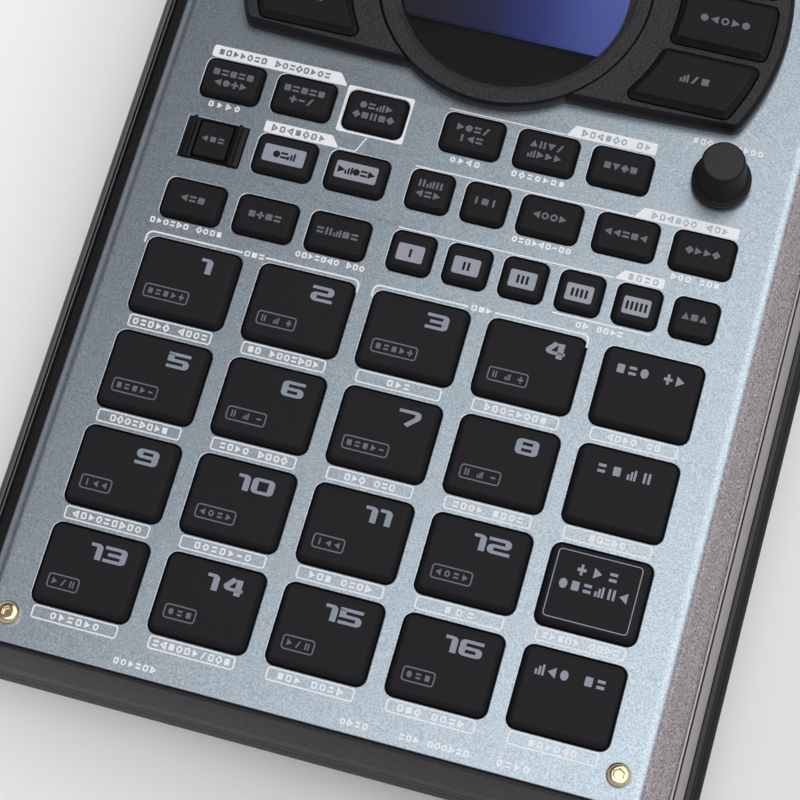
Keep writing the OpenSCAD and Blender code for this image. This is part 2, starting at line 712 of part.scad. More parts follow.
module key_delete() {
    color([0.14, 0.14, 0.15]) on_panel() translate([left_x[0], key_y[1], 0]) {
        top_z = guard_h * 0.6;
        shelf = flange_bottom - flange_gap;
        translate([0, 0, shelf]) cap(guard_key_w, key_d - 2 * key_gap, 0.6, top_z - shelf, 0.5);
        box(-guard_w / 2, guard_w / 2, -guard_d / 2, guard_d / 2, shelf - flange_t, shelf + 0.01);
        translate([0, 0, board_top + key_travel + flange_gap])
            cylinder(r = plunger_r, h = shelf - flange_t - board_top - key_travel - flange_gap + 0.01);
    }
}

// Moulded frame that closes the panel's ends and carries its bent sides
module upper_case() {
    shelf_in = skirt_x - shelf_w;
    wall_in = top_end_y - wall;
    shelf_bottom = shelf_drop + wall;
    notch = 0.4;
    color([0.2, 0.2, 0.21]) on_panel() difference() {
        union() {
            difference() {
                union() {
                    hull() {
                        plan(shoulder_x, top_end_y, -0.01);
                        plan(skirt_x, end_at(skirt_drop), -skirt_drop);
                    }
                    hull() {
                        plan(ledge_x, end_at(skirt_drop), -skirt_drop);
                        plan(strip_x, end_at(strip_end), -strip_end);
                    }
                    hull() {
                        plan(strip_x, end_at(strip_end), -strip_end);
                        plan(rail_x, end_y, -rail_drop);
                        plan(rail_x, end_y, -seam_drop);
                    }
                }
                box(-ledge_x, ledge_x, -wall_in, wall_in, -shelf_drop, cut);
                sheet_seat(seat_end_y);
                box(-shelf_in, shelf_in, -wall_in, wall_in, -shelf_bottom - cut, -shelf_drop + cut);
                hull() {
                    plan(ledge_x - wall / 2, end_at(shelf_bottom) - wall, -shelf_bottom, corner_r - wall);
                    plan(strip_x - wall, end_at(strip_end) - wall, -strip_end - wall / 2, corner_r - wall);
                    plan(rail_x - wall, end_y - wall, -seam_drop - cut, corner_r - wall);
                }
            }
            for (x = [-1, 1], y = [-1, 1]) {
                translate([x * screw_x, y * screw_y, -shelf_bottom])
                    cylinder(r = boss_r, h = shelf_bottom - sheet_t - seat_gap);
                mirror([x < 0 ? 1 : 0, 0, 0])
                    box(screw_x, shelf_in + 1, y * screw_y - rib_w / 2, y * screw_y + rib_w / 2,
                        -shelf_bottom, -skirt_drop);
                mirror([0, y < 0 ? 1 : 0, 0])
                    box(x * screw_x - rib_w / 2, x * screw_x + rib_w / 2, screw_y, wall_in + rib_w / 4,
                        -shelf_bottom, -sheet_t - seat_gap);
            }
        }
        // Fine groove between the smooth strip and the rail of each side
        for (x = [-1, 1]) mirror([x < 0 ? 1 : 0, 0, 0])
            box(strip_x - notch, rail_x + cut, corner_r - end_y, end_y - corner_r, -strip_end - notch, -strip_end);
        for (x = [-1, 1], y = [-1, 1]) translate([x * screw_x, y * screw_y, -shelf_bottom + cut])
            cylinder(r = screw_r + screw_gap, h = shelf_bottom);
    }
}

// Tapered tub of the base, shrunk by t on every side and raised to the floor's level z
module base_tub(t, z, top) {
    half_w = rail_x - side_taper - t;
    half_d = (end_y - end_taper) * cos(panel_tilt) - t;
    difference() {
        hull() {
            on_panel() plan(rail_x - lip_w - t, end_y - lip_w - t, top, corner_r - t);
            plan(half_w, half_d, z + base_bevel, corner_r - t);
            plan(half_w - base_bevel, half_d - base_bevel, z, corner_r - t);
        }
        front_recess(front_wall_y + t, z, t > 0 ? panel_z : 0);
    }
}

// Space in front of the front wall's face at y and under the front rim, bevelled at the floor's level z
module front_recess(y, z, rise) {
    reach = 2 * front_tuck;
    slope = front_rim_rise / front_tuck;
    rim_z = panel_z - (seam_drop + front_rim_h) * cos(panel_tilt) - end_y * sin(panel_tilt);
    wall_z = rim_z - front_rim_rise + rise;
    rotate([90, 0, 90]) linear_extrude(2 * case_w, center = true)
        polygon([[y + base_bevel, z], [y, z + base_bevel], [y, wall_z],
                 [y - reach, wall_z + slope * reach], [y - reach, z - base_bevel],
                 [y + 2 * base_bevel, z - base_bevel]]);
}

module battery_bay_walls() {
    bay_rim = door_ledge + wall;
    box(-bay_w / 2 - wall, bay_w / 2 + wall, bay_y - bay_d / 2 - wall, bay_y + bay_d / 2 + wall,
        floor_z - seat_gap, foot_h + door_t + bay_h + wall);
    box(-bay_w / 2 - bay_rim, bay_w / 2 + bay_rim, bay_y - bay_d / 2 - bay_rim,
        bay_y + bay_d / 2 + bay_rim, floor_z - seat_gap, foot_h + door_t + wall);
}

// Inside of the battery bay, and the rebate that the door closes
module battery_bay_space() {
    box(-bay_w / 2, bay_w / 2, bay_y - bay_d / 2, bay_y + bay_d / 2, foot_h - cut, foot_h + door_t + bay_h);
    box(-bay_w / 2 - door_ledge, bay_w / 2 + door_ledge, bay_y - bay_d / 2 - door_ledge,
        bay_y + bay_d / 2 + door_ledge, foot_h - cut, foot_h + door_t);
}

// Posts under the main board and under the two jack boards
module board_posts() {
    difference() {
        for (x = [-1, 1], y = post_y) translate([x * post_x, y, floor_z - seat_gap])
            cylinder(r = post_r, h = case_w / 2);
        above(board_drop + board_t + seat_gap);
    }
    for (x = [-1, 1]) {
        translate([x * front_post_x, front_mouth_y + jack_l, floor_z - seat_gap])
            cylinder(r = jack_post_r, h = front_axis_z + jack_w / 2 - floor_z);
        translate([x * back_post_x, back_mouth_y - jack_l, floor_z - seat_gap])
            cylinder(r = jack_post_r, h = back_axis_z - jack_w / 2 - board_t - floor_z - seat_gap);
    }
}

module front_openings() {
    for (x = [-phones_x, input_x]) front_hole(x, jack_nose_r + socket_gap);
    front_hole(-small_phones_x, mini_nose_r + socket_gap);
    front_hole(gain_x, gain_r + key_gap);
    box(selector_x - switch_room(selector_w), selector_x + switch_room(selector_w), front_wall_y - cut,
        front_wall_y + wall_reach, front_axis_z - selector_h / 2 - 2 * socket_gap,
        front_axis_z + selector_h / 2 + 2 * socket_gap);
}

module back_openings() {
    for (x = line_x) back_hole(x, jack_nose_r + socket_gap);
    for (x = midi_x) back_hole(x, mini_nose_r + socket_gap);
    back_hole(dc_x, dc_r + socket_gap);
    back_slot(usb_x, usb_w, usb_h);
    back_slot(card_x, card_w, 2 * card_h - 2 * socket_gap);
    back_slot(power_x, 2 * switch_room(power_w) - 2 * socket_gap, power_h + 2 * socket_gap);
}

// Half width of the slot that a slide lever of width w moves in
function switch_room(w) = (switch_travel + w) / 2 + key_gap;

// Round hole through a wall, between y0 and y1
module wall_hole(x, z, r, y0, y1) {
    translate([x, y0, z]) rotate([-90, 0, 0]) cylinder(r = r, h = y1 - y0);
}

module front_hole(x, r) {
    wall_hole(x, front_axis_z, r, front_wall_y - cut, front_wall_y + wall_reach);
}

module back_hole(x, r) {
    wall_hole(x, back_axis_z, r, back_y - wall_reach, back_y + wall);
}

module back_slot(x, w, h) {
    box(x - w / 2 - socket_gap, x + w / 2 + socket_gap, back_y - wall_reach, back_y + wall,
        back_axis_z - h / 2 - socket_gap, back_axis_z + h / 2 + socket_gap);
}

// Everything above the plane that lies drop below the panel
module above(drop) {
    on_panel() box(-case_w, case_w, -case_d, case_d, -drop, case_w);
}

module bottom_case() {
    rim = seam_drop + seam_gap;
    color([0.13, 0.13, 0.14]) difference() {
        union() {
            difference() {
                base_tub(0, foot_h, -rim);
                base_tub(wall, floor_z, cut - rim);
            }
            battery_bay_walls();
            board_posts();
        }
        battery_bay_space();
        for (x = [-1, 1], y = foot_y) translate([x * foot_x, y, foot_h - cut])
            cylinder(r = foot_r + seat_gap, h = foot_pocket + cut);
        for (x = [-1, 1], y = post_y) translate([x * post_x, y, foot_h - cut]) {
            cylinder(r = screw_head_r + socket_gap, h = base_sink + cut);
            cylinder(r = screw_r + screw_gap, h = base_sink + base_screw_l + 2 * cut);
        }
        front_openings();
        back_openings();
    }
}

module feet() {
    chamfer = 0.8;
    color([0.08, 0.08, 0.08]) for (x = [-1, 1], y = foot_y) translate([x * foot_x, y, 0])
        rotate_extrude() polygon([[0, 0], [foot_r - chamfer, 0], [foot_r, chamfer],
                                  [foot_r, foot_h + foot_pocket - seat_gap], [0, foot_h + foot_pocket - seat_gap]]);
}

// Button-head screws with hexagon sockets
module panel_screws() {
    socket_r = screw_head_r * 0.5;
    color([0.72, 0.64, 0.45]) on_panel() for (x = [-1, 1], y = [-1, 1])
        translate([x * screw_x, y * screw_y, seat_gap]) difference() {
            union() {
                rotate_extrude() polygon(concat([[0, 0], [screw_head_r, 0], [screw_head_r, screw_head_h * 0.25]],
                    [for (a = [15:15:75]) [screw_head_r * (0.45 + 0.55 * cos(a)),
                                           screw_head_h * (0.25 + 0.75 * sin(a))]],
                    [[0, screw_head_h]]));
                translate([0, 0, -screw_l]) cylinder(r = screw_r, h = screw_l + 0.01);
            }
            translate([0, 0, screw_head_h * 0.3]) cylinder(r = socket_r, h = screw_head_h, $fn = 6);
        }
}

module base_screws() {
    head_z = foot_h + base_sink - screw_head_h - seat_gap;
    slot_w = 0.7;
    color([0.1, 0.1, 0.1]) for (x = [-1, 1], y = post_y) translate([x * post_x, y, head_z]) difference() {
        union() {
            cylinder(r = screw_head_r, h = screw_head_h);
            cylinder(r = screw_r, h = screw_head_h + base_screw_l);
        }
        for (a = [0, 90]) rotate([0, 0, a]) cube([screw_head_r, slot_w, screw_head_h], center = true);
    }
}

module battery_door() {
    w = bay_w + 2 * door_ledge - 2 * door_gap;
    d = bay_d + 2 * door_ledge - 2 * door_gap;
    color([0.12, 0.12, 0.13]) difference() {
        union() {
            box(-w / 2, w / 2, bay_y - d / 2, bay_y + d / 2, foot_h, foot_h + door_t - seat_gap);
            for (x = [-0.3, 0, 0.3]) box(x * bay_w - 0.7, x * bay_w + 0.7, bay_y - bay_d / 2 + 2,
                bay_y + bay_d / 2 - 2, foot_h + door_t - seat_gap - 0.1, foot_h + door_t + 0.8);
        }
        // Finger grip and the slots beside the springy latch tongue
        for (i = [0:3]) box(-9, 9, bay_y - d / 2 + 5 + 2 * i, bay_y - d / 2 + 6 + 2 * i, foot_h - cut, foot_h + 0.6);
        for (x = [-1, 1]) box(x * 11 - 0.5, x * 11 + 0.5, bay_y - d / 2 - cut, bay_y - d / 2 + 14, 0, bay_h);
    }
}

// Potentiometer or encoder body on the main board, with a bush for the shaft
module pot_body(x, y, floor_t) {
    translate([x, y, 0]) difference() {
        union() {
            box(-pot_w / 2, pot_w / 2, -pot_w / 2, pot_w / 2 + 1, board_top - 0.1, board_top + pot_h);
            translate([0, 0, board_top + pot_h - 0.1]) cylinder(r = bush_r, h = board_drop - pot_h - seat_gap);
        }
        translate([0, 0, board_top + floor_t]) cylinder(r = shaft_r + shaft_gap, h = board_drop + cut);
    }
}

module main_board() {
    color([0.1, 0.3, 0.16]) on_panel() {
        box(-board_half_w, board_half_w, -board_half_d, board_half_d, board_top - board_t, board_top);
        for (x = knob_x) pot_body(x, knob_row_y, pot_floor);
        pot_body(encoder_x, encoder_y, encoder_floor);
    }
}

// Quarter inch socket lying along Y, its mouth at y = 0 and its body towards +Y
module quarter_jack() {
    difference() {
        union() {
            rotate([-90, 0, 0]) cylinder(r = jack_nose_r, h = nose_l + 1);
            box(-jack_w / 2, jack_w / 2, nose_l, nose_l + jack_l, -jack_w / 2, jack_w / 2);
        }
        translate([0, -cut, 0]) rotate([-90, 0, 0]) cylinder(r = jack_bore_r, h = nose_l + jack_l - 1 + cut);
    }
}

// Small socket in the same way, standing on the level of the larger ones
module mini_jack() {
    difference() {
        union() {
            rotate([-90, 0, 0]) cylinder(r = mini_nose_r, h = nose_l + 1);
            box(-mini_w / 2, mini_w / 2, nose_l, nose_l + mini_l, -jack_w / 2, mini_w / 2);
        }
        translate([0, -cut, 0]) rotate([-90, 0, 0]) cylinder(r = mini_bore_r, h = nose_l + mini_l - 1 + cut);
    }
}

// Body of a slide switch, open where its lever moves
module switch_body(w, h, depth, lever_w, lever_h) {
    difference() {
        box(-w / 2, w / 2, nose_l, nose_l + depth, -jack_w / 2, h);
        box(-switch_room(lever_w), switch_room(lever_w), 0, nose_l + depth - 1, -lever_h / 2 - key_gap,
            lever_h / 2 + key_gap);
    }
}

// Sockets, gain control and selector hanging under the front board
module front_jack_board() {
    top = front_axis_z + jack_w / 2 + seat_gap;
    color([0.12, 0.32, 0.18]) {
        box(-front_post_x - 4, front_post_x + 4, front_mouth_y + nose_l, front_mouth_y + nose_l + jack_l + 2,
            top, top + board_t);
        translate([0, front_mouth_y, front_axis_z]) {
            for (x = [-phones_x, input_x]) translate([x, 0, 0]) quarter_jack();
            translate([-small_phones_x, 0, 0]) mirror([0, 0, 1]) mini_jack();
            translate([selector_x, 0, 0]) mirror([0, 0, 1])
                switch_body(14, 3.5, selector_depth, selector_w, selector_h);
            translate([gain_x, 0, 0]) difference() {
                box(-pot_w / 2, pot_w / 2, gain_pot_y, gain_pot_y + pot_h, -pot_w / 2, jack_w / 2);
                wall_hole(0, 0, gain_shaft_r + shaft_gap, 0, gain_pot_y + pot_h - 1);
            }
        }
    }
}

module power_inlet() {
    difference() {
        union() {
            rotate([-90, 0, 0]) cylinder(r = dc_r, h = nose_l + 1);
            box(-dc_r, dc_r, nose_l, nose_l + mini_l, -jack_w / 2, dc_r);
        }
        translate([0, -cut, 0]) rotate([-90, 0, 0]) cylinder(r = dc_r - dc_wall, h = mini_l + cut);
    }
    translate([0, 1, 0]) rotate([-90, 0, 0]) cylinder(r = dc_pin_r, h = mini_l);
}

// Metal shell of the data socket with its tongue, on a foot that reaches the board
module data_socket() {
    shell = 0.4;
    tongue_t = 0.7;
    depth = 9;
    difference() {
        box(-usb_w / 2, usb_w / 2, 0, depth, -usb_h / 2, usb_h / 2);
        box(-usb_w / 2 + shell, usb_w / 2 - shell, -cut, depth - 2, -usb_h / 2 + shell, usb_h / 2 - shell);
    }
    box(-usb_w / 2 + 3 * shell, usb_w / 2 - 3 * shell, 1, depth - 1, -tongue_t / 2, tongue_t / 2);
    box(-usb_w / 2, usb_w / 2, nose_l, depth, -jack_w / 2, -usb_h / 2 + 0.1);
}

module card_socket() {
    roof = 0.7;
    difference() {
        union() {
            box(-card_w / 2, card_w / 2, nose_l, nose_l + card_l, -jack_w / 2, card_h / 2 + roof);
            box(-card_w / 2, card_w / 2, 1, nose_l + 1, -card_h / 2 - roof, card_h / 2 + roof);
        }
        box(-card_w / 2 + roof, card_w / 2 - roof, -cut, nose_l + card_l - 1, -card_h / 2, card_h / 2);
    }
}

// Sockets and power switch standing on the back board
module rear_jack_board() {
    base = back_axis_z - jack_w / 2 - seat_gap;
    color([0.12, 0.32, 0.18]) {
        box(-back_board_x, back_board_x, back_mouth_y - nose_l - jack_l - 2, back_mouth_y - nose_l,
            base - board_t, base);
        translate([0, back_mouth_y, back_axis_z]) mirror([0, 1, 0]) {
            for (x = line_x) translate([x, 0, 0]) quarter_jack();
            for (x = midi_x) translate([x, 0, 0]) mini_jack();
            translate([dc_x, 0, 0]) power_inlet();
            translate([usb_x, 0, 0]) data_socket();
            translate([card_x, 0, 0]) card_socket();
            translate([power_x, 0, 0]) switch_body(13.5, 4, power_depth, power_w, power_h);
        }
    }
}

// Knob with a skirt, a waisted grip, a pointer rib and its own shaft
module rotary_knob(x) {
    rib = 0.5;
    color([0.12, 0.12, 0.13]) on_panel() translate([x, knob_row_y, 0]) {
        rotate_extrude($fn = 72) polygon([[0, knob_lift], [knob_r, knob_lift], [knob_r, knob_lift + 2],
            [knob_r - 0.6, knob_lift + 2.8], [knob_r - 1.1, knob_h - 1.2], [knob_r - 1.4, knob_h - 0.5],
            [knob_r - 2.1, knob_h], [0, knob_h]]);
        for (a = [30:30:330]) rotate([0, 0, a + 90]) translate([knob_r - 1.1, 0, knob_lift + 2])
            cylinder(r = rib, h = knob_h - knob_lift - 3.6, $fn = 16);
        translate([0, 0, board_top + pot_floor + 0.4]) cylinder(r = shaft_r, h = board_drop + knob_lift - pot_floor);
    }
}

module encoder_shaft() {
    foot_z = board_top + encoder_floor + encoder_travel + 0.4;
    color([0.6, 0.6, 0.62]) on_panel() translate([encoder_x, encoder_y, foot_z])
        cylinder(r = shaft_r, h = encoder_h - encoder_roof - 0.3 - foot_z);
}

module encoder_knob() {
    color([0.15, 0.15, 0.16]) on_panel() translate([encoder_x, encoder_y, 0]) difference() {
        rotate_extrude($fn = 72) polygon([[0, knob_lift], [encoder_foot_r - 0.3, knob_lift],
            [encoder_foot_r, knob_lift + 0.4], [encoder_foot_r, knob_lift + 1.4],
            [encoder_foot_r - 0.4, knob_lift + 1.8], [encoder_r, knob_lift + 2.2],
            [encoder_r - 0.7, encoder_h - 0.7], [encoder_r - 1, encoder_h - 0.2],
            [encoder_r - 1.5, encoder_h], [0, encoder_h]]);
        translate([0, 0, knob_lift - cut])
            cylinder(r = shaft_r + shaft_gap, h = encoder_h - encoder_roof - knob_lift + cut);
    }
}

module gain_knob() {
    proud = 1.5;
    face = front_wall_y - proud;
    grip_l = 4.4;
    color([0.12, 0.12, 0.13]) {
        difference() {
            wall_hole(gain_x, front_axis_z, gain_r, face, face + grip_l);
            box(gain_x - 0.4, gain_x + 0.4, face - cut, face + 0.5, front_axis_z, front_axis_z + gain_r + cut);
        }
        wall_hole(gain_x, front_axis_z, gain_shaft_r, face + grip_l - 0.4,
                  front_mouth_y + gain_pot_y + pot_h - 1.4);
    }
}

// Slide lever: a ribbed finger piece with a foot inside the switch body
module lever(w, h, proud, inside) {
    box(-w / 2, w / 2, -proud, inside, -h / 2, h / 2);
    for (x = [-1, 0, 1]) box(x * w / 4 - 0.2, x * w / 4 + 0.2, -proud - 0.3, -proud + 0.1, -h / 2, h / 2);
}

module input_switch() {
    color([0.3, 0.3, 0.31]) translate([selector_x - switch_travel / 2, front_mouth_y, front_axis_z])
        lever(selector_w, selector_h, 0.7, nose_l + selector_depth - 1 - key_gap);
}

module power_switch() {
    color([0.3, 0.3, 0.31]) translate([power_x - switch_travel / 2, back_mouth_y, back_axis_z])
        mirror([0, 1, 0]) lever(power_w, power_h, 2, nose_l + power_depth - 1 - key_gap);
}

top_panel();
upper_case();
bottom_case();
effect_bezel();
display_ring();
display_lens();
screen_module();
main_board();
rear_jack_board();
front_jack_board();
battery_door();
feet();
panel_screws();
base_screws();
key_guard();
for (i = [0:15]) pad(i % 4, floor(i / 4));
for (i = [0:3]) pad(4, i);
for (i = [0:5]) effect_key(i < 3 ? -1 : 1, 1 - i % 3);
rotary_knob(knob_x[0]);  // volume_knob
for (i = [1:3]) rotary_knob(knob_x[i]);
encoder_shaft();
encoder_knob();
power_switch();
gain_knob();
input_switch();
for (x = left_x) key(x, 0, key_w);  // keys_sequence
for (x = edit_x) key(x, 0, key_w);  // keys_edit
key_delete();
key(left_x[1], 1, key_w);  // key_record
key(left_x[2], 1, key_w);  // key_resample
for (i = [0, 1]) key(small_x[i], 1, small_key_w);  // keys_mode_small
for (x = mode_x) key(x, 1, key_w);  // keys_mode_wide
for (x = left_x) key(x, 2, key_w);  // keys_play
for (i = [0:4]) key(small_x[i], 2, small_key_w);  // keys_bank
key(small_x[5], 2, small_key_w);  // key_shift
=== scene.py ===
import json
import math

import bmesh
import bpy
import numpy as np
from mathutils import Matrix, Vector, geometry

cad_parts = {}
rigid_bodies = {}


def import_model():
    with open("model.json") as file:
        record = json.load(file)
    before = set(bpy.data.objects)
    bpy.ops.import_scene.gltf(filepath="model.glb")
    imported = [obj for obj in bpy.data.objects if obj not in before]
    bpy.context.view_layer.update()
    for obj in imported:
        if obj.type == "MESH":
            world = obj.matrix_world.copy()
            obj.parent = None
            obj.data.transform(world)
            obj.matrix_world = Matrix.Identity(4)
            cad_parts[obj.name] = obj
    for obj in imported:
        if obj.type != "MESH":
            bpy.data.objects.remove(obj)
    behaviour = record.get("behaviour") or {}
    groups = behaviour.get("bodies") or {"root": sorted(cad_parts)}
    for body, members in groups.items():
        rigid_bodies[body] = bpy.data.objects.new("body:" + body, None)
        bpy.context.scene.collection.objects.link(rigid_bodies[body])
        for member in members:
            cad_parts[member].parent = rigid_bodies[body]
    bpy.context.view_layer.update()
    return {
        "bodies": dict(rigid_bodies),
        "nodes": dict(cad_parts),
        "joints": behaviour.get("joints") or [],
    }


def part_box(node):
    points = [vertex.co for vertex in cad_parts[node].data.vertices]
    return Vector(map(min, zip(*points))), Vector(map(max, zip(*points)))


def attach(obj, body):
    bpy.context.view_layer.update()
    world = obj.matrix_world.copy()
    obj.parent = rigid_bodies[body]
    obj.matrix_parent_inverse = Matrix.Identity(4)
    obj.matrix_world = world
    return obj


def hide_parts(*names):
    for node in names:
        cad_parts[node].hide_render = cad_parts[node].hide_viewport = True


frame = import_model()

# ---------------------------------------------------------------------------
# The panel's own plane: x to the right, y to the back, height along the panel's normal.
# Every size below is in millimetres of that plane.
# ---------------------------------------------------------------------------
MM = 0.001
JOINTS = {joint["name"]: joint for joint in frame["joints"]}
RIGHT = np.array([1.0, 0.0, 0.0])
UP = np.array(JOINTS["pad_1_press"]["axis"], float)
BACK = np.cross(UP, RIGHT)
ENCODER = (59.65, 14.9)
ORIGIN = np.array(JOINTS["encoder_turn"]["pos_m"]) - MM * (ENCODER[0] * RIGHT + ENCODER[1] * BACK)


def on_panel(points):
    """Panel points (x, y, height) in millimetres as points of the frame in metres."""
    p = np.asarray(points, float)
    return ORIGIN + MM * (p[..., :1] * RIGHT + p[..., 1:2] * BACK + p[..., 2:3] * UP)


def upright(points):
    """Points (x, y, z) in millimetres of the frame itself, as points in metres."""
    return MM * np.asarray(points, float)


# Case
RAIL_X, STRIP_X, LEDGE_X, SKIRT_X = 88.9, 86.7, 83.6, 82.75
END_Y, TOP_END_Y, SEAT_END_Y, PANEL_END_Y = 137.9, 133.95, 133.35, 132.8
CORNER_R = 5.0
RAIL_DROP, SEAM_DROP, STRIP_DROP, SKIRT_DROP = 21.5, 22.3, 18.0, 11.0
WALL, INNER_R, SHELF_X, SHELF_Y = 2.2, 2.8, 79.0, 131.75
LIP_X, SEAT_X = 76.35, 74.0
# Bent sheet
SHEET_T, BEND_R, SKIRT_A = 1.2, 3.4, math.radians(62)
BEND_L = BEND_R * SKIRT_A
SKIRT_L = (SKIRT_DROP - BEND_R * (1 - math.cos(SKIRT_A))) / math.sin(SKIRT_A)
FLAT_X = SKIRT_X - SKIRT_L * math.cos(SKIRT_A) - BEND_R * math.sin(SKIRT_A)
# Pads and keys
PAD_W, PAD_D, PAD_R, PAD_H = 22.6, 18.75, 1.9, 2.25
PAD_PITCH, PAD_ROW_PITCH, FIRST_PAD_Y, LABEL_DROP = 27.78, 24.07, -40.2, 11.8
PAD_X = [PAD_PITCH * column for column in (-2, -1, 0, 1, 2)]
PAD_Y = [FIRST_PAD_Y - PAD_ROW_PITCH * row for row in range(4)]
KEY_W, SMALL_W, KEY_D, KEY_R, KEY_H = 14.1, 9.95, 9.7, 1.6, 1.5
KEY_Y = [12.25 - 16.1 * row for row in range(3)]
LEFT_X = [-59.8 + 17.9 * i for i in range(3)]
EDIT_X = [18.05 * i for i in range(3)]
MODE_X = [23.15 + 18.3 * i for i in range(3)]
SMALL_X = [-6 + 13.54 * i for i in range(6)]
GUARD_W, GUARD_D, GUARD_KEY_W, GUARD_H, RIDGE_X = 14.8, 10.4, 8.2, 1.6, 5.6
GAP, FLANGE_W, DRAFT = 0.35, 1.1, 0.57
FLANGE_TOP, FLANGE_BOTTOM = -1.5, -2.7
BOARD_TOP = -9.0
DOME_TOP = BOARD_TOP + 1.3
# Section round the display
EFFECT_Y, EFFECT_H, EFFECT_BEVEL = 53.3, 4.3, 1.0
SIDE_R, SIDE_X, HALF_D, BOW_R, ROUND_R = 57.6, 9.1, 27.5, 1200.0, 3.0
RING_R, RING_IN, LENS_R, SCREEN_D, RING_N, SPLIT_GAP = 33.3, 28.1, 29.3, 14.2, 128, 0.06
EFFECT_IN, EFFECT_OUT, EFFECT_KEY_R = 40.15, 53.9, 1.6
EFFECT_D, EFFECT_PITCH, EFFECT_SHIFT = 14.4, 16.5, 0.6
EFFECT_KEY_H, EFFECT_FLANGE, EFFECT_DRAFT = 1.8, 0.7, 1.1
# Knobs and screws
KNOB_X = [-54.0, -18.0, 18.0, 54.0]
KNOB_Y, KNOB_R, KNOB_H, LIFT = 104.0, 7.4, 15.0, 1.2
SHAFT_R, SHAFT_HOLE_R, ENCODER_H = 3.0, 4.1, 12.6
SCREW_X, SCREW_Y, HEAD_R, HEAD_H, SCREW_HOLE_R = 70.8, 126.2, 2.8, 1.8, 1.6
# Thickness of the print over the paint
INK = 0.03


# ---------------------------------------------------------------------------
# Outlines and surfaces
# ---------------------------------------------------------------------------
def arc(centre, r, start, end, n):
    """n + 1 points on the circle about centre, from angle start to end, in degrees."""
    a = np.radians(np.linspace(start, end, n + 1))
    return np.stack([centre[0] + r * np.cos(a), centre[1] + r * np.sin(a)], -1)


def circle(x, y, r, n=48):
    """n points round a circle, counter-clockwise."""
    return arc((x, y), r, 0, 360, n)[:-1]


def round_rect(x, y, w, d, r, n=6):
    """Rectangle about (x, y) whose corners are quarter circles, counter-clockwise."""
    a, b = w / 2 - r, d / 2 - r
    return np.concatenate([arc((x + a, y + b), r, 0, 90, n), arc((x - a, y + b), r, 90, 180, n),
                           arc((x - a, y - b), r, 180, 270, n), arc((x + a, y - b), r, 270, 360, n)])


def unit(v):
    """Vectors divided by their lengths."""
    return v / np.maximum(np.linalg.norm(v, axis=-1, keepdims=True), 1e-12)


def sideways(points, closed=True):
    """Leftward direction at each point of a path, lengthened at its corners by 1 / (1 + cosine of the turn),
    so that a parallel line keeps its distance."""
    step = unit(np.roll(points, -1, 0) - points)
    before = np.roll(step, 1, 0)
    if not closed:
        step[-1], before[0] = before[-1], step[0]
    left, left_before = (np.stack([-s[:, 1], s[:, 0]], -1) for s in (step, before))
    return (left + left_before) / (1 + np.sum(left * left_before, -1, keepdims=True))


def offset(outline, inset):
    """Closed outline moved to its left by inset, which is inwards if it runs counter-clockwise."""
    return outline + inset * sideways(outline)


def on_side(points, side):
    """Outline of the right side (1) as it is, or mirrored in x for the left side (-1), run the same way round."""
    return points if side > 0 else points[::-1] * (-1, 1)


def rounded_path(points, r, closed=False, n=5):
    """Path whose corners are cut by arcs of radius r, tangent to both sides."""
    p, made = np.asarray(points, float), []
    for i, corner in enumerate(p):
        if not closed and i in (0, len(p) - 1):
            made.append(corner[None])
            continue
        before, after = corner - p[i - 1], p[(i + 1) % len(p)] - corner
        u, v = unit(before), unit(after)
        turn = math.atan2(u[0] * v[1] - u[1] * v[0], u @ v)
        cut = min(r * math.tan(abs(turn) / 2), 0.49 * np.linalg.norm(before), 0.49 * np.linalg.norm(after))
        if cut < 1e-6:
            made.append(corner[None])
            continue
        radius, side = cut / math.tan(abs(turn) / 2), math.copysign(1, turn)
        centre = corner - u * cut + side * radius * np.array([-u[1], u[0]])
        first = corner - u * cut - centre
        a = math.atan2(first[1], first[0]) + turn * np.linspace(0, 1, n + 1)
        made.append(centre + radius * np.stack([np.cos(a), np.sin(a)], -1))
    return np.concatenate(made)


def grid_faces(rows, cols, wrap_rows=False, wrap_cols=True):
    """Four-sided faces between neighbours of a grid of points, rows outermost."""
    r = np.arange(rows if wrap_rows else rows - 1)[:, None]
    c = np.arange(cols if wrap_cols else cols - 1)[None]
    r1, c1 = (r + 1) % rows, (c + 1) % cols
    return np.stack(np.broadcast_arrays(r * cols + c, r * cols + c1, r1 * cols + c1, r1 * cols + c),
                    -1).reshape(-1, 4).tolist()


def edge(r, top, inset=0.0, n=4, flat=0.08):
    """Profile rows (inset, height) of a quarter-round upper edge of radius r that ends in a narrow flat."""
    a = np.linspace(0, math.pi / 2, n + 1)
    rows = [(inset + r * (1 - math.cos(t)), top - r * (1 - math.sin(t))) for t in a]
    return rows + [(inset + r + flat, top)]


def turned(profile, centre=(0, 0), n=64, flute=None):
    """Rings round an upright axis, one for each row (radius, height). flute(angle, row) gives what is taken off
    the radius."""
    a = np.linspace(0, 2 * math.pi, n, endpoint=False)
    rings = []
    for row, (r, height) in enumerate(profile):
        radius = r - (flute(a, row) if flute else 0)
        rings.append(np.column_stack([centre[0] + radius * np.cos(a), centre[1] + radius * np.sin(a),
                                      np.full(n, height)]))
    return np.stack(rings)


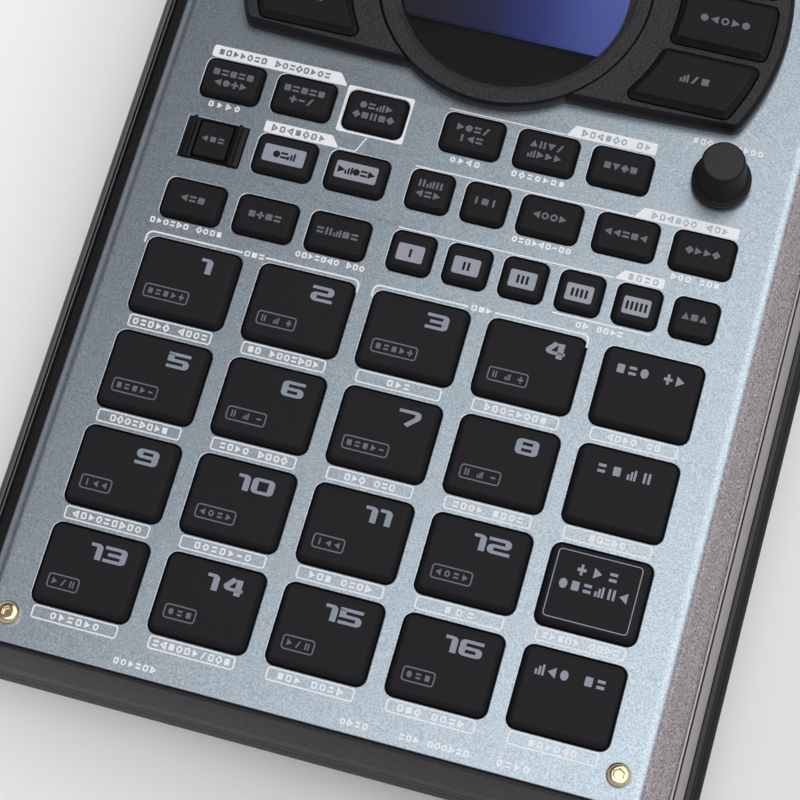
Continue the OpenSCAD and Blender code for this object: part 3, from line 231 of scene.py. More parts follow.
class Solid:
    """Closed surfaces gathered into one piece."""

    def __init__(self):
        self.points, self.faces, self.count = [], [], 0

    def add(self, points, faces):
        """Points with their faces, numbered on from those already there."""
        points = np.asarray(points, float).reshape(-1, 3)
        self.faces += [[i + self.count for i in face] for face in faces]
        self.points.append(points)
        self.count += len(points)
        return self

    def stack(self, rings):
        """Skin over closed rings of equal length, from the bottom up, with a flat cap at both ends."""
        rings = np.asarray(rings, float)
        rows, cols = rings.shape[:2]
        caps = [list(range(cols))[::-1], list(range((rows - 1) * cols, rows * cols))]
        return self.add(rings, grid_faces(rows, cols) + caps)

    def loft(self, outline, profile, centre=(0, 0)):
        """Skin over one outline, moved inwards and raised by each row (inset, height) of the profile."""
        moved = outline + np.asarray(centre, float)
        return self.stack([np.column_stack([offset(moved, inset), np.full(len(moved), height)])
                           for inset, height in profile])

    def revolve(self, *rows):
        """Skin of revolution over turned rows, capped at both ends."""
        return self.stack(turned(*rows))

    def band(self, *rows):
        """Ring whose closed section is the turned profile."""
        rings = turned(*rows)
        return self.add(rings, grid_faces(*rings.shape[:2], wrap_rows=True))

    def plate(self, loops):
        """Plate with holes. Each loop is (outline with the plate on its left, or a rule that gives it for an
        inset, rows (inset, height) from the bottom up); the bottom and the top between the loops are cut into
        triangles."""
        low, high = [], []
        for outline, profile in loops:
            rings = [outline(inset) if callable(outline) else offset(outline, inset) for inset, _ in profile]
            start, size = self.count, len(rings[0])
            heights = np.repeat([height for _, height in profile], size)
            self.add(np.column_stack([np.concatenate(rings), heights]), grid_faces(len(profile), size))
            low.append((start, rings[0]))
            high.append((start + (len(profile) - 1) * size, rings[-1]))
        for side, up in ((low, -1), (high, 1)):
            flat = np.concatenate([ring for _, ring in side])
            index = np.concatenate([start + np.arange(len(ring)) for start, ring in side])
            cut = np.array(geometry.tessellate_polygon([[Vector((x, y, 0)) for x, y in ring] for _, ring in side]))
            a, b, c = (flat[cut[:, k]] for k in range(3))
            area = (b[:, 0] - a[:, 0]) * (c[:, 1] - a[:, 1]) - (b[:, 1] - a[:, 1]) * (c[:, 0] - a[:, 0])
            cut = np.where((area * up > 0)[:, None], cut, cut[:, ::-1])
            self.faces += index[cut].tolist()
        return self

    def ribbon(self, path, pen, low, high, closed=False):
        """Flat strip along a path, from height low to high. pen is its width across vertical and across
        horizontal lines of the path."""
        path = np.asarray(path, float)
        half = sideways(path, closed) * np.asarray(pen, float) / 2
        across = [path - half, path + half, path + half, path - half]
        rings = np.stack([np.column_stack([p, np.full(len(p), h)])
                          for p, h in zip(across, (low, low, high, high))], 1)
        n = len(path)
        faces = grid_faces(n, 4, wrap_rows=closed)
        if not closed:
            faces += [[3, 2, 1, 0], [4 * n - 4, 4 * n - 3, 4 * n - 2, 4 * n - 1]]
        return self.add(rings, faces)

    def patch(self, outline, low, high):
        """Thin flat solid on an outline."""
        return self.loft(np.asarray(outline, float), [(0, low), (0, high)])

    def mesh(self, name, place):
        """Mesh of all surfaces, its points put in place by the given rule."""
        mesh = bpy.data.meshes.new(name)
        mesh.from_pydata(place(np.concatenate(self.points)).tolist(), [], self.faces)
        return mesh


def finish_piece(name, mesh, body, material, replaces=(), sharp=38):
    """Object for a mesh: smooth except over sharp edges, riding on its body and standing for its CAD nodes."""
    mesh.shade_smooth()
    mesh.set_sharp_from_angle(angle=math.radians(sharp))
    for m in material if isinstance(material, list) else [material]:
        mesh.materials.append(m)
    piece = bpy.data.objects.new(name, mesh)
    bpy.context.scene.collection.objects.link(piece)
    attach(piece, body)
    if replaces:
        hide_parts(*replaces)
    return piece


def paint_faces(mesh, kind):
    """Material of each face by its number in the piece's list."""
    mesh.polygons.foreach_set("material_index", kind.astype(np.int32))


def make(name, solid, body, material, replaces=(), sharp=38, place=on_panel):
    """Piece from gathered surfaces."""
    return finish_piece(name, solid.mesh(name, place), body, material, replaces, sharp)


# ---------------------------------------------------------------------------
# Shader node groups and materials
# ---------------------------------------------------------------------------
def add_node(tree, kind, inputs=None, **settings):
    """Node with its settings; inputs are values, or sockets to link from."""
    node = tree.nodes.new(kind)
    for key, value in settings.items():
        setattr(node, key, value)
    for key, value in (inputs or {}).items():
        if isinstance(value, bpy.types.NodeSocket):
            tree.links.new(value, node.inputs[key])
        else:
            node.inputs[key].default_value = value
    return node


def group(name, inputs, outputs, build):
    """Node group with float inputs {name: default} and outputs {name: socket type}."""
    tree = bpy.data.node_groups.new(name, "ShaderNodeTree")
    for key, value in inputs.items():
        tree.interface.new_socket(key, in_out="INPUT", socket_type="NodeSocketFloat").default_value = value
    for key, kind in outputs.items():
        tree.interface.new_socket(key, in_out="OUTPUT", socket_type=kind)
    start, end = tree.nodes.new("NodeGroupInput"), tree.nodes.new("NodeGroupOutput")
    for key, socket in build(tree, start.outputs).items():
        tree.links.new(socket, end.inputs[key])
    return tree


def noise(tree, vector, scale, detail=2.0, rough=0.5):
    """Cloudy value about one half."""
    return add_node(tree, "ShaderNodeTexNoise", {"Vector": vector, "Scale": scale, "Detail": detail,
                                                 "Roughness": rough}).outputs["Fac"]


def maths(tree, operation, a, b=0.0, c=0.0):
    """Sum, product and so on of numbers."""
    return add_node(tree, "ShaderNodeMath", {0: a, 1: b, 2: c}, operation=operation).outputs[0]


def vectors(tree, operation, a, b=None, scale=None):
    """Sum, scaling and so on of vectors; DOT_PRODUCT and LENGTH give a number."""
    given = {key: value for key, value in ((0, a), (1, b), ("Scale", scale)) if value is not None}
    node = add_node(tree, "ShaderNodeVectorMath", given, operation=operation)
    return node.outputs["Value" if operation in ("DOT_PRODUCT", "LENGTH") else "Vector"]


def map_range(tree, value, low, high, to_low=0.0, to_high=1.0, kind="SMOOTHSTEP"):
    """Value carried from one range to another, held at the ends, and eased into them unless kind is LINEAR."""
    return add_node(tree, "ShaderNodeMapRange", {"Value": value, "From Min": low, "From Max": high,
                                                 "To Min": to_low, "To Max": to_high},
                    interpolation_type=kind).outputs[0]


def object_point(tree):
    """Point of the object in metres."""
    return add_node(tree, "ShaderNodeTexCoord").outputs["Object"]


def build_grain(tree, given):
    """Speckle: noise at the given cells per metre, spread about one half, with a share of a coarser octave."""
    point = object_point(tree)
    fine = noise(tree, point, given["Scale"], 2.0, 0.6)
    coarse = noise(tree, point, maths(tree, "MULTIPLY", given["Scale"], 0.21), 2.0, 0.5)
    mixed = maths(tree, "MULTIPLY_ADD", maths(tree, "SUBTRACT", coarse, fine), given["Coarse"], fine)
    spread = maths(tree, "MULTIPLY_ADD", maths(tree, "SUBTRACT", mixed, 0.5), given["Contrast"], 0.5)
    return {"Value": add_node(tree, "ShaderNodeClamp", {"Value": spread}).outputs[0]}


def build_flakes(tree, given):
    """Metal flakes: each cell of a Voronoi net tilts the normal a little its own way, and one in a few shines."""
    cells = add_node(tree, "ShaderNodeTexVoronoi", {"Vector": object_point(tree), "Scale": given["Scale"]})
    colour = cells.outputs["Color"]
    tilt = vectors(tree, "SCALE", vectors(tree, "SUBTRACT", colour, (0.5, 0.5, 0.5)), scale=given["Tilt"])
    normal = vectors(tree, "ADD", add_node(tree, "ShaderNodeNewGeometry").outputs["Normal"], tilt)
    part = add_node(tree, "ShaderNodeSeparateColor", {0: colour}).outputs[0]
    return {"Normal": vectors(tree, "NORMALIZE", normal),
            "Shine": map_range(tree, part, given["Share"], 1.0, kind="LINEAR")}


def build_handling(tree, given):
    """Uneven polish: broad and narrow noise that shifts a roughness about its middle value."""
    point = object_point(tree)
    broad, narrow = noise(tree, point, 22.0, 3.0, 0.55), noise(tree, point, 260.0, 2.0, 0.6)
    both = maths(tree, "ADD", maths(tree, "MULTIPLY", broad, 0.7), maths(tree, "MULTIPLY", narrow, 0.3))
    shift = maths(tree, "MULTIPLY", maths(tree, "SUBTRACT", both, 0.5), given["Spread"])
    return {"Roughness": maths(tree, "ADD", given["Middle"], shift)}


GRAIN = group("fine_grain", {"Scale": 2500.0, "Contrast": 1.5, "Coarse": 0.2}, {"Value": "NodeSocketFloat"},
              build_grain)
FLAKES = group("metal_flakes", {"Scale": 3000.0, "Tilt": 0.2, "Share": 0.9},
               {"Normal": "NodeSocketVector", "Shine": "NodeSocketFloat"}, build_flakes)
HANDLING = group("uneven_polish", {"Middle": 0.5, "Spread": 0.2}, {"Roughness": "NodeSocketFloat"},
                 build_handling)


def use(tree, made, **inputs):
    """Outputs of a group placed with its own values."""
    node = tree.nodes.new("ShaderNodeGroup")
    node.node_tree = made
    for key, value in inputs.items():
        node.inputs[key.capitalize()].default_value = value
    return node.outputs


def mix_colour(tree, factor, a, b):
    """Colour from a at factor 0 to b at factor 1; each is a colour or a socket."""
    node = add_node(tree, "ShaderNodeMix", {"Factor": factor}, data_type="RGBA")
    for socket, value in ((node.inputs[6], a), (node.inputs[7], b)):
        if isinstance(value, bpy.types.NodeSocket):
            tree.links.new(value, socket)
        else:
            socket.default_value = (*value, 1.0)
    return node.outputs[2]


def new_material(name):
    """Empty node material, with its tree and its shader."""
    material = bpy.data.materials.new(name)
    material.use_nodes = True
    return material, material.node_tree, material.node_tree.nodes["Principled BSDF"]


def finish_material(name, dark, light, rough, spread, grain, contrast, coarse=0.2, bump=0.0, depth=0.02,
                    flakes=None, shine=None, tint=None, grazing_shade=None, **principled):
    """Material whose colour wanders between dark and light with a fine grain, with uneven polish, an optional
    bump of the same grain (depth in millimetres) or metal flakes (scale, tilt, share) with their shine colour.
    Grazing shade is painted shade: the dark colour that the base colour falls to where the surface is looked along,
    and the range of slants in which it does. Tint is the grey of the metal's glancing gloss."""
    material, tree, shader = new_material(name)
    speck = use(tree, GRAIN, scale=grain, contrast=contrast, coarse=coarse)["Value"]
    colour = mix_colour(tree, speck, dark, light)
    tree.links.new(use(tree, HANDLING, middle=rough, spread=spread)["Roughness"], shader.inputs["Roughness"])
    if flakes:
        cells = use(tree, FLAKES, scale=flakes[0], tilt=flakes[1], share=flakes[2])
        tree.links.new(cells["Normal"], shader.inputs["Normal"])
        colour = mix_colour(tree, cells["Shine"], colour, shine)
    elif bump:
        raised = add_node(tree, "ShaderNodeBump", {"Height": speck, "Strength": bump, "Distance": depth * MM})
        tree.links.new(raised.outputs[0], shader.inputs["Normal"])
    # Painted shade: the base colour is darkened where the surface is looked along, so glancing sides read dark under
    # any lamp.
    if grazing_shade:
        slant = add_node(tree, "ShaderNodeLayerWeight", {"Blend": 0.5}).outputs["Facing"]
        colour = mix_colour(tree, map_range(tree, slant, grazing_shade[3], grazing_shade[4]), colour, grazing_shade[:3])
    tree.links.new(colour, shader.inputs["Base Color"])
    for key, value in principled.items():
        shader.inputs[key.replace("_", " ")].default_value = value
    if tint is not None:
        shader.inputs["Specular Tint"].default_value = (tint, tint, tint, 1.0)
    return material


SLATE = (0.29, 0.335, 0.365), (0.47, 0.54, 0.59), 0.34, 0.03, 2300.0, 3.0
SLATE_METAL = {"coarse": 0.0, "flakes": (4600.0, 0.04, 0.985), "shine": (0.55, 0.61, 0.65), "Metallic": 1.0}
PANEL_PAINT = finish_material("panel_paint", *SLATE, **SLATE_METAL, tint=0.5)
# Painted shade: the left side of the sheet gets a shaded copy of the panel paint, darkened where it is looked along
# and with a dark glancing gloss.
LEFT_SHADED_PAINT = finish_material("left_side_painted_shade", *SLATE, **SLATE_METAL, tint=0.02,
                             grazing_shade=(0.15, 0.153, 0.162, 0.30, 0.72))
# Painted light: the right side of the sheet gets a lighter, warmer copy of the paint, as if lit from the right, with
# painted shade where it is looked along.
RIGHT_LIT_PAINT = finish_material("right_side_painted_light", (0.24, 0.225, 0.23), (0.74, 0.70, 0.71), 0.30, 0.03, 2100.0, 2.6,
                             coarse=0.0, flakes=(2600.0, 0.10, 0.96), shine=(0.85, 0.81, 0.82), tint=0.0,
                             grazing_shade=(0.06, 0.056, 0.058, 0.62, 0.84), Metallic=1.0)
# Painted shade: the smooth strip's colour darkens where it is looked along.
STRIP_PAINT = finish_material("smooth_strip", (0.46, 0.445, 0.435), (0.52, 0.505, 0.49), 0.36, 0.06, 500.0, 1.2,
                              tint=0.0, grazing_shade=(0.05, 0.048, 0.047, 0.62, 0.84), Metallic=1.0)
CASE_PLASTIC = finish_material("case_sparkle", (0.008, 0.008, 0.009), (0.020, 0.020, 0.022), 0.50, 0.12, 2600.0,
                               1.8, flakes=(3400.0, 0.16, 0.96), shine=(0.06, 0.06, 0.063), Specular_IOR_Level=0.3)
BEZEL_PLASTIC = finish_material("section_sparkle", (0.018, 0.019, 0.020), (0.052, 0.053, 0.054), 0.55, 0.08,
                                2500.0, 2.8, coarse=0.0, flakes=(3400.0, 0.08, 0.97), shine=(0.07, 0.072, 0.074),
                                Specular_IOR_Level=0.12)


def moulded(name, dark, light, rough, spread, grain, contrast, gloss=0.5, bump=0.0, depth=0.02):
    """Plastic, rubber or ink: a finish with its own gloss level and, where it has one, a moulded grain."""
    return finish_material(name, dark, light, rough, spread, grain, contrast, bump=bump, depth=depth,
                           Specular_IOR_Level=gloss)


BASE_PLASTIC = moulded("base_texture", (0.010, 0.010, 0.011), (0.022, 0.022, 0.024), 0.58, 0.15, 1600.0, 2.0,
                       0.3, 0.4, 0.05)
EDGE_PLASTIC = moulded("smooth_black", (0.006, 0.006, 0.007), (0.012, 0.012, 0.013), 0.34, 0.10, 700.0, 1.2, 0.14)
PAD_RUBBER = moulded("pad_rubber", (0.0150, 0.0145, 0.0156), (0.0190, 0.0184, 0.0196), 0.62, 0.12, 1900.0, 1.4,
                     0.09, 0.15, 0.03)
KEY_PLASTIC = moulded("key_plastic", (0.0130, 0.0124, 0.0132), (0.0160, 0.0153, 0.0162), 0.52, 0.12, 1500.0, 1.3,
                      0.10, 0.08, 0.02)
KNOB_PLASTIC = moulded("knob_plastic", (0.014, 0.014, 0.015), (0.026, 0.026, 0.028), 0.48, 0.14, 1800.0, 1.5,
                       0.3, 0.12, 0.03)
# Painted light: a lighter copy of the black knob plastic for the encoder's top disc, standing in for the light on
# its top.
PAINTED_LIT_TOP = moulded("knob_top_painted_light", (0.030, 0.030, 0.031), (0.038, 0.038, 0.039), 0.50, 0.1, 1800.0, 1.4, 0.15)
FOOT_RUBBER = moulded("foot_rubber", (0.018, 0.018, 0.018), (0.035, 0.035, 0.035), 0.75, 0.1, 900.0, 1.6,
                      0.3, 0.4, 0.05)
SWITCH_PLASTIC = moulded("switch_plastic", (0.03, 0.03, 0.032), (0.055, 0.055, 0.057), 0.42, 0.12, 1500.0, 1.4,
                         bump=0.1)
SOCKET_BLACK = moulded("socket_black", (0.010, 0.010, 0.010), (0.022, 0.022, 0.022), 0.40, 0.12, 1200.0, 1.4)
SOLDER_MASK = moulded("solder_mask", (0.006, 0.045, 0.020), (0.014, 0.085, 0.040), 0.32, 0.1, 350.0, 2.5,
                      bump=0.2, depth=0.03)
WHITE_INK = moulded("white_ink", (0.84, 0.85, 0.86), (0.92, 0.93, 0.94), 0.50, 0.1, 2200.0, 1.2)
SLATE_INK = moulded("slate_ink", (0.21, 0.24, 0.29), (0.29, 0.33, 0.385), 0.48, 0.1, 2200.0, 1.4)
DIM_INK = moulded("dim_ink", (0.10, 0.11, 0.13), (0.145, 0.16, 0.185), 0.50, 0.1, 2200.0, 1.4)
WINDOW = moulded("key_window", (0.26, 0.285, 0.33), (0.33, 0.36, 0.41), 0.35, 0.08, 1400.0, 1.2)
SCREEN_DARK = moulded("dark_glass", (0.010, 0.0098, 0.0095), (0.014, 0.0135, 0.013), 0.35, 0.05, 300.0, 1.2, 0.08)
STEEL = finish_material("turned_steel", (0.50, 0.50, 0.51), (0.66, 0.66, 0.67), 0.28, 0.15, 1500.0, 1.8,
                        Metallic=1.0)
GOLD_PLATE = finish_material("screw_plate", (0.66, 0.53, 0.33), (0.84, 0.72, 0.50), 0.16, 0.10, 900.0, 1.5,
                             Metallic=1.0)
BLACK_STEEL = finish_material("blackened_steel", (0.02, 0.02, 0.02), (0.05, 0.05, 0.05), 0.38, 0.15, 900.0, 1.5,
                              Metallic=0.6)
LENS_GLASS = finish_material("clear_lens", (0.96, 0.97, 1.0), (1.0, 1.0, 1.0), 0.03, 0.02, 120.0, 1.0,
                             Transmission_Weight=1.0, IOR=1.12)


def screen_material():
    """Lit glass: a blue field that brightens to the right and the back, over a fine dot net."""
    material, tree, shader = new_material("lit_screen")
    place = add_node(tree, "ShaderNodeSeparateXYZ", {0: object_point(tree)}).outputs
    across = map_range(tree, place["X"], -0.024, 0.028)
    along = map_range(tree, place["Y"], 0.036, 0.068, 0.75, 1.15, "LINEAR")
    ramp = tree.nodes.new("ShaderNodeValToRGB")
    stops = ((0.0, (0.018, 0.017, 0.024)), (0.35, (0.020, 0.023, 0.065)), (0.7, (0.030, 0.043, 0.18)),
             (1.0, (0.075, 0.10, 0.33)))
    while len(ramp.color_ramp.elements) < len(stops):
        ramp.color_ramp.elements.new(0.5)
    for element, (position, colour) in zip(ramp.color_ramp.elements, stops):
        element.position, element.color = position, (*colour, 1)
    tree.links.new(across, ramp.inputs[0])
    net = use(tree, GRAIN, scale=900.0, contrast=0.6)["Value"]
    level = maths(tree, "MULTIPLY", along, maths(tree, "MULTIPLY_ADD", net, 0.2, 0.9))
    tree.links.new(vectors(tree, "SCALE", ramp.outputs[0], scale=level), shader.inputs["Emission Color"])
    shader.inputs["Emission Strength"].default_value = 1.0
    tree.links.new(mix_colour(tree, net, (0.006, 0.006, 0.010), (0.012, 0.012, 0.018)),
                   shader.inputs["Base Color"])
    tree.links.new(use(tree, HANDLING, middle=0.3, spread=0.04)["Roughness"], shader.inputs["Roughness"])
    shader.inputs["Specular IOR Level"].default_value = 0.05
    return material


SCREEN_LIT = screen_material()


# ---------------------------------------------------------------------------
# Top sheet: cut flat with all its holes, then bent down along both sides
# ---------------------------------------------------------------------------
def fold(points):
    """Flat sheet to bent sheet: past the flat, the way along the sheet runs round the bend radius, then
    straight down the sloping side, whose lower edge is cut level."""
    x, y, h = points.T
    way = np.abs(x) - FLAT_X
    turn = np.clip(way / BEND_R, 0, SKIRT_A)
    rest = np.clip(way - BEND_L, 0, None)
    rest = rest + h / math.tan(SKIRT_A) * rest / SKIRT_L
    bent_x = FLAT_X + (BEND_R + h) * np.sin(turn) + rest * np.cos(turn)
    bent_h = -BEND_R + (BEND_R + h) * np.cos(turn) - rest * np.sin(turn)
    flat = way <= 0
    return np.stack([np.sign(x) * np.where(flat, np.abs(x), bent_x), y, np.where(flat, h, bent_h)], -1)


def effect_key_outline(row, side):
    """Slice between the display's circle and the side arc, with level front and back edges and round corners."""
    half, r, n = EFFECT_D / 2, EFFECT_KEY_R, 6
    middle = (row - 1) * EFFECT_PITCH - EFFECT_SHIFT
    low, high = middle - half + r, middle + half - r

    def corner(centre_x, radius, y):
        """Centre of a corner's arc: the point at y on a circle about (centre_x, 0)."""
        return np.array([centre_x + math.sqrt(radius ** 2 - y * y), y])

    def heading(a, b):
        """Direction from a to b in degrees."""
        return math.degrees(math.atan2(b[1] - a[1], b[0] - a[0]))

    far = EFFECT_OUT
    far_low, far_high = corner(SIDE_X, far - r, low), corner(SIDE_X, far - r, high)
    near_low, near_high = corner(0, EFFECT_IN + r, low), corner(0, EFFECT_IN + r, high)
    origin, side_c = (0, 0), (SIDE_X, 0)
    points = np.concatenate([
        arc(far_low, r, -90, heading(side_c, far_low), n),
        arc(side_c, far, heading(side_c, far_low), heading(side_c, far_high), 8)[1:-1],
        arc(far_high, r, heading(side_c, far_high), 90, n),
        arc(near_high, r, 90, heading(origin, near_high) + 180, n),
        arc(origin, EFFECT_IN, heading(origin, near_high), heading(origin, near_low), 8)[1:-1],
        arc(near_low, r, heading(origin, near_low) + 180, 270, n)])
    return on_side(points, side) + (0, EFFECT_Y)


def effect_outline():
    """Bowed front and back edges and round side arcs, joined by small round corners."""
    bow_centre, side_centre = np.array([0, HALF_D - BOW_R]), np.array([SIDE_X, 0.0])
    r1, r2 = BOW_R - ROUND_R, SIDE_R - ROUND_R
    gap = np.linalg.norm(side_centre - bow_centre)
    along = (side_centre - bow_centre) / gap
    a = (r1 ** 2 - r2 ** 2 + gap ** 2) / (2 * gap)
    corner = np.abs(bow_centre + a * along + math.sqrt(r1 ** 2 - a * a) * np.array([along[1], -along[0]]))
    bow_a = math.degrees(math.atan2(corner[1] - bow_centre[1], corner[0]))
    side_a = math.degrees(math.atan2(corner[1], corner[0] - SIDE_X))
    quarter = np.concatenate([arc(side_centre, SIDE_R, 0, side_a, 24), arc(corner, ROUND_R, side_a, bow_a, 8)[1:],
                              arc(bow_centre, BOW_R, bow_a, 90, 16)[1:]])
    back = np.concatenate([quarter, quarter[-2::-1] * (-1, 1)])
    return np.concatenate([back, back[-2:0:-1] * (1, -1)]) + (0, EFFECT_Y)


def section_half(side, inset):
    """Right or left part of the section outside the display ring: the bowed outline drawn in by the inset, cut
    where it crosses the ring's circle, and closed along that circle."""
    rim, deepest = (offset(effect_outline(), k) - (0, EFFECT_Y) for k in (inset, 1.1))
    clear = RING_R + SPLIT_GAP + 0.12 * min(inset, 1.0)
    order = np.flatnonzero((deepest[:, 0] > 0) & (np.hypot(*deepest.T) > clear + 0.1))
    order = np.roll(order, -int(np.argmax(np.diff(order, append=order[0]) != 1)) - 1)
    bow, centre = BOW_R - inset, HALF_D - BOW_R
    y = (centre ** 2 + clear ** 2 - bow ** 2) / (2 * centre)
    end = math.degrees(math.atan2(y, math.sqrt(clear ** 2 - y * y)))
    half = np.concatenate([rim[order], arc((0, 0), clear, end, -end, 60)])
    return on_side(half, side) + (0, EFFECT_Y)


def band_outline(side):
    """Opening under three effect keys: between two arcs, cut level in front and behind, in the sheet's plane."""
    inner, outer, half = 38.9, 55.15, 24.95

    def span(r, x):
        """Arc of radius r about (x, 0) between the level cuts."""
        a = math.degrees(math.asin(half / r))
        return arc((x, 0), r, -a, a, 24)

    points = np.concatenate([span(outer, SIDE_X), span(inner, 0)[::-1]])
    return on_side(points, side) + (0, EFFECT_Y - EFFECT_SHIFT)


def key_places():
    """Every pad and key in the sheet: (x, y, width, depth, corner radius)."""
    pads = [(x, y, PAD_W, PAD_D, PAD_R) for x in PAD_X for y in PAD_Y]
    wide = [(x, KEY_Y[0]) for x in LEFT_X + EDIT_X] + [(x, KEY_Y[1]) for x in LEFT_X[1:] + MODE_X]
    wide += [(x, KEY_Y[2]) for x in LEFT_X]
    small = [(x, KEY_Y[1]) for x in SMALL_X[:2]] + [(x, KEY_Y[2]) for x in SMALL_X]
    return (pads + [(x, y, KEY_W, KEY_D, KEY_R) for x, y in wide]
            + [(x, y, SMALL_W, KEY_D, KEY_R) for x, y in small])


def build_top_sheet():
    """Sheet with rolled hole rims: plate in the flat, cut along the bend lines, then folded."""
    rim = [(0.0, -SHEET_T), (0.0, -0.30)] + edge(0.30, 0.0, n=3, flat=0.06)[1:]
    half_s = FLAT_X + BEND_L + SKIRT_L
    rectangle = np.array([(half_s, PANEL_END_Y), (-half_s, PANEL_END_Y), (-half_s, -PANEL_END_Y),
                          (half_s, -PANEL_END_Y)])
    loops = [(rectangle, rim)]
    for x, y, w, d, r in key_places():
        loops.append((round_rect(x, y, w + 2 * GAP, d + 2 * GAP, r + GAP, 5)[::-1], rim))
    loops.append((round_rect(LEFT_X[0], KEY_Y[1], GUARD_W + 0.2, GUARD_D + 0.2, 0.3, 2)[::-1], rim))
    for x, y, r in ([(x, KNOB_Y, SHAFT_HOLE_R) for x in KNOB_X] + [(*ENCODER, SHAFT_HOLE_R), (0, EFFECT_Y, LENS_R)]
                    + [(a * SCREW_X, b * SCREW_Y, SCREW_HOLE_R) for a in (-1, 1) for b in (-1, 1)]):
        loops.append((circle(x, y, r, 96 if r > 10 else 24)[::-1], rim))
    for side in (-1, 1):
        loops.append((band_outline(side)[::-1], rim))
    mesh = Solid().plate(loops).mesh("top_sheet", lambda p: p)
    work = bmesh.new()
    work.from_mesh(mesh)
    cuts = [FLAT_X - 0.3] + [FLAT_X + BEND_L * i / 8 for i in range(9)] + [FLAT_X + BEND_L + 0.3]
    for x in [side * cut for cut in cuts for side in (-1, 1)]:
        bmesh.ops.bisect_plane(work, geom=work.verts[:] + work.edges[:] + work.faces[:], dist=1e-5,
                               plane_co=(x, 0, 0), plane_no=(1, 0, 0))
    work.to_mesh(mesh)
    work.free()
    points = np.zeros(len(mesh.vertices) * 3)
    mesh.vertices.foreach_get("co", points)
    mesh.vertices.foreach_set("co", on_panel(fold(points.reshape(-1, 3))).ravel())
    mesh.update()
    middle = np.zeros(len(mesh.polygons) * 3)
    mesh.polygons.foreach_get("center", middle)
    across = middle.reshape(-1, 3)[:, 0] / MM
    right_side = across > FLAT_X + 0.62 * BEND_R * math.sin(SKIRT_A)
    # Painted light and shade: past the bend the right side takes the lighter painted-light copy of the paint and the
    # left side the darker painted-shade copy, though both are one sheet.
    paint_faces(mesh, np.where(right_side, 1, np.where(across < -FLAT_X, 2, 0)))
    finish_piece("top_sheet", mesh, "case", [PANEL_PAINT, RIGHT_LIT_PAINT, LEFT_SHADED_PAINT], ("top_panel",), 30)


# ---------------------------------------------------------------------------
# Upper case: one profile carried round the plan, and a lip that closes each end
# ---------------------------------------------------------------------------
def end_at(drop):
    """Half depth of the case at a drop below the panel's plane."""
    return TOP_END_Y + (END_Y - TOP_END_Y) * min(drop, RAIL_DROP) / RAIL_DROP


def case_ring(half_w, half_d, drop, r=INNER_R):
    """Rounded rectangle round the plan at a drop below the panel's plane."""
    outline = round_rect(0, 0, 2 * half_w, 2 * half_d, r, 8)
    return np.column_stack([outline, np.full(len(outline), -drop)])


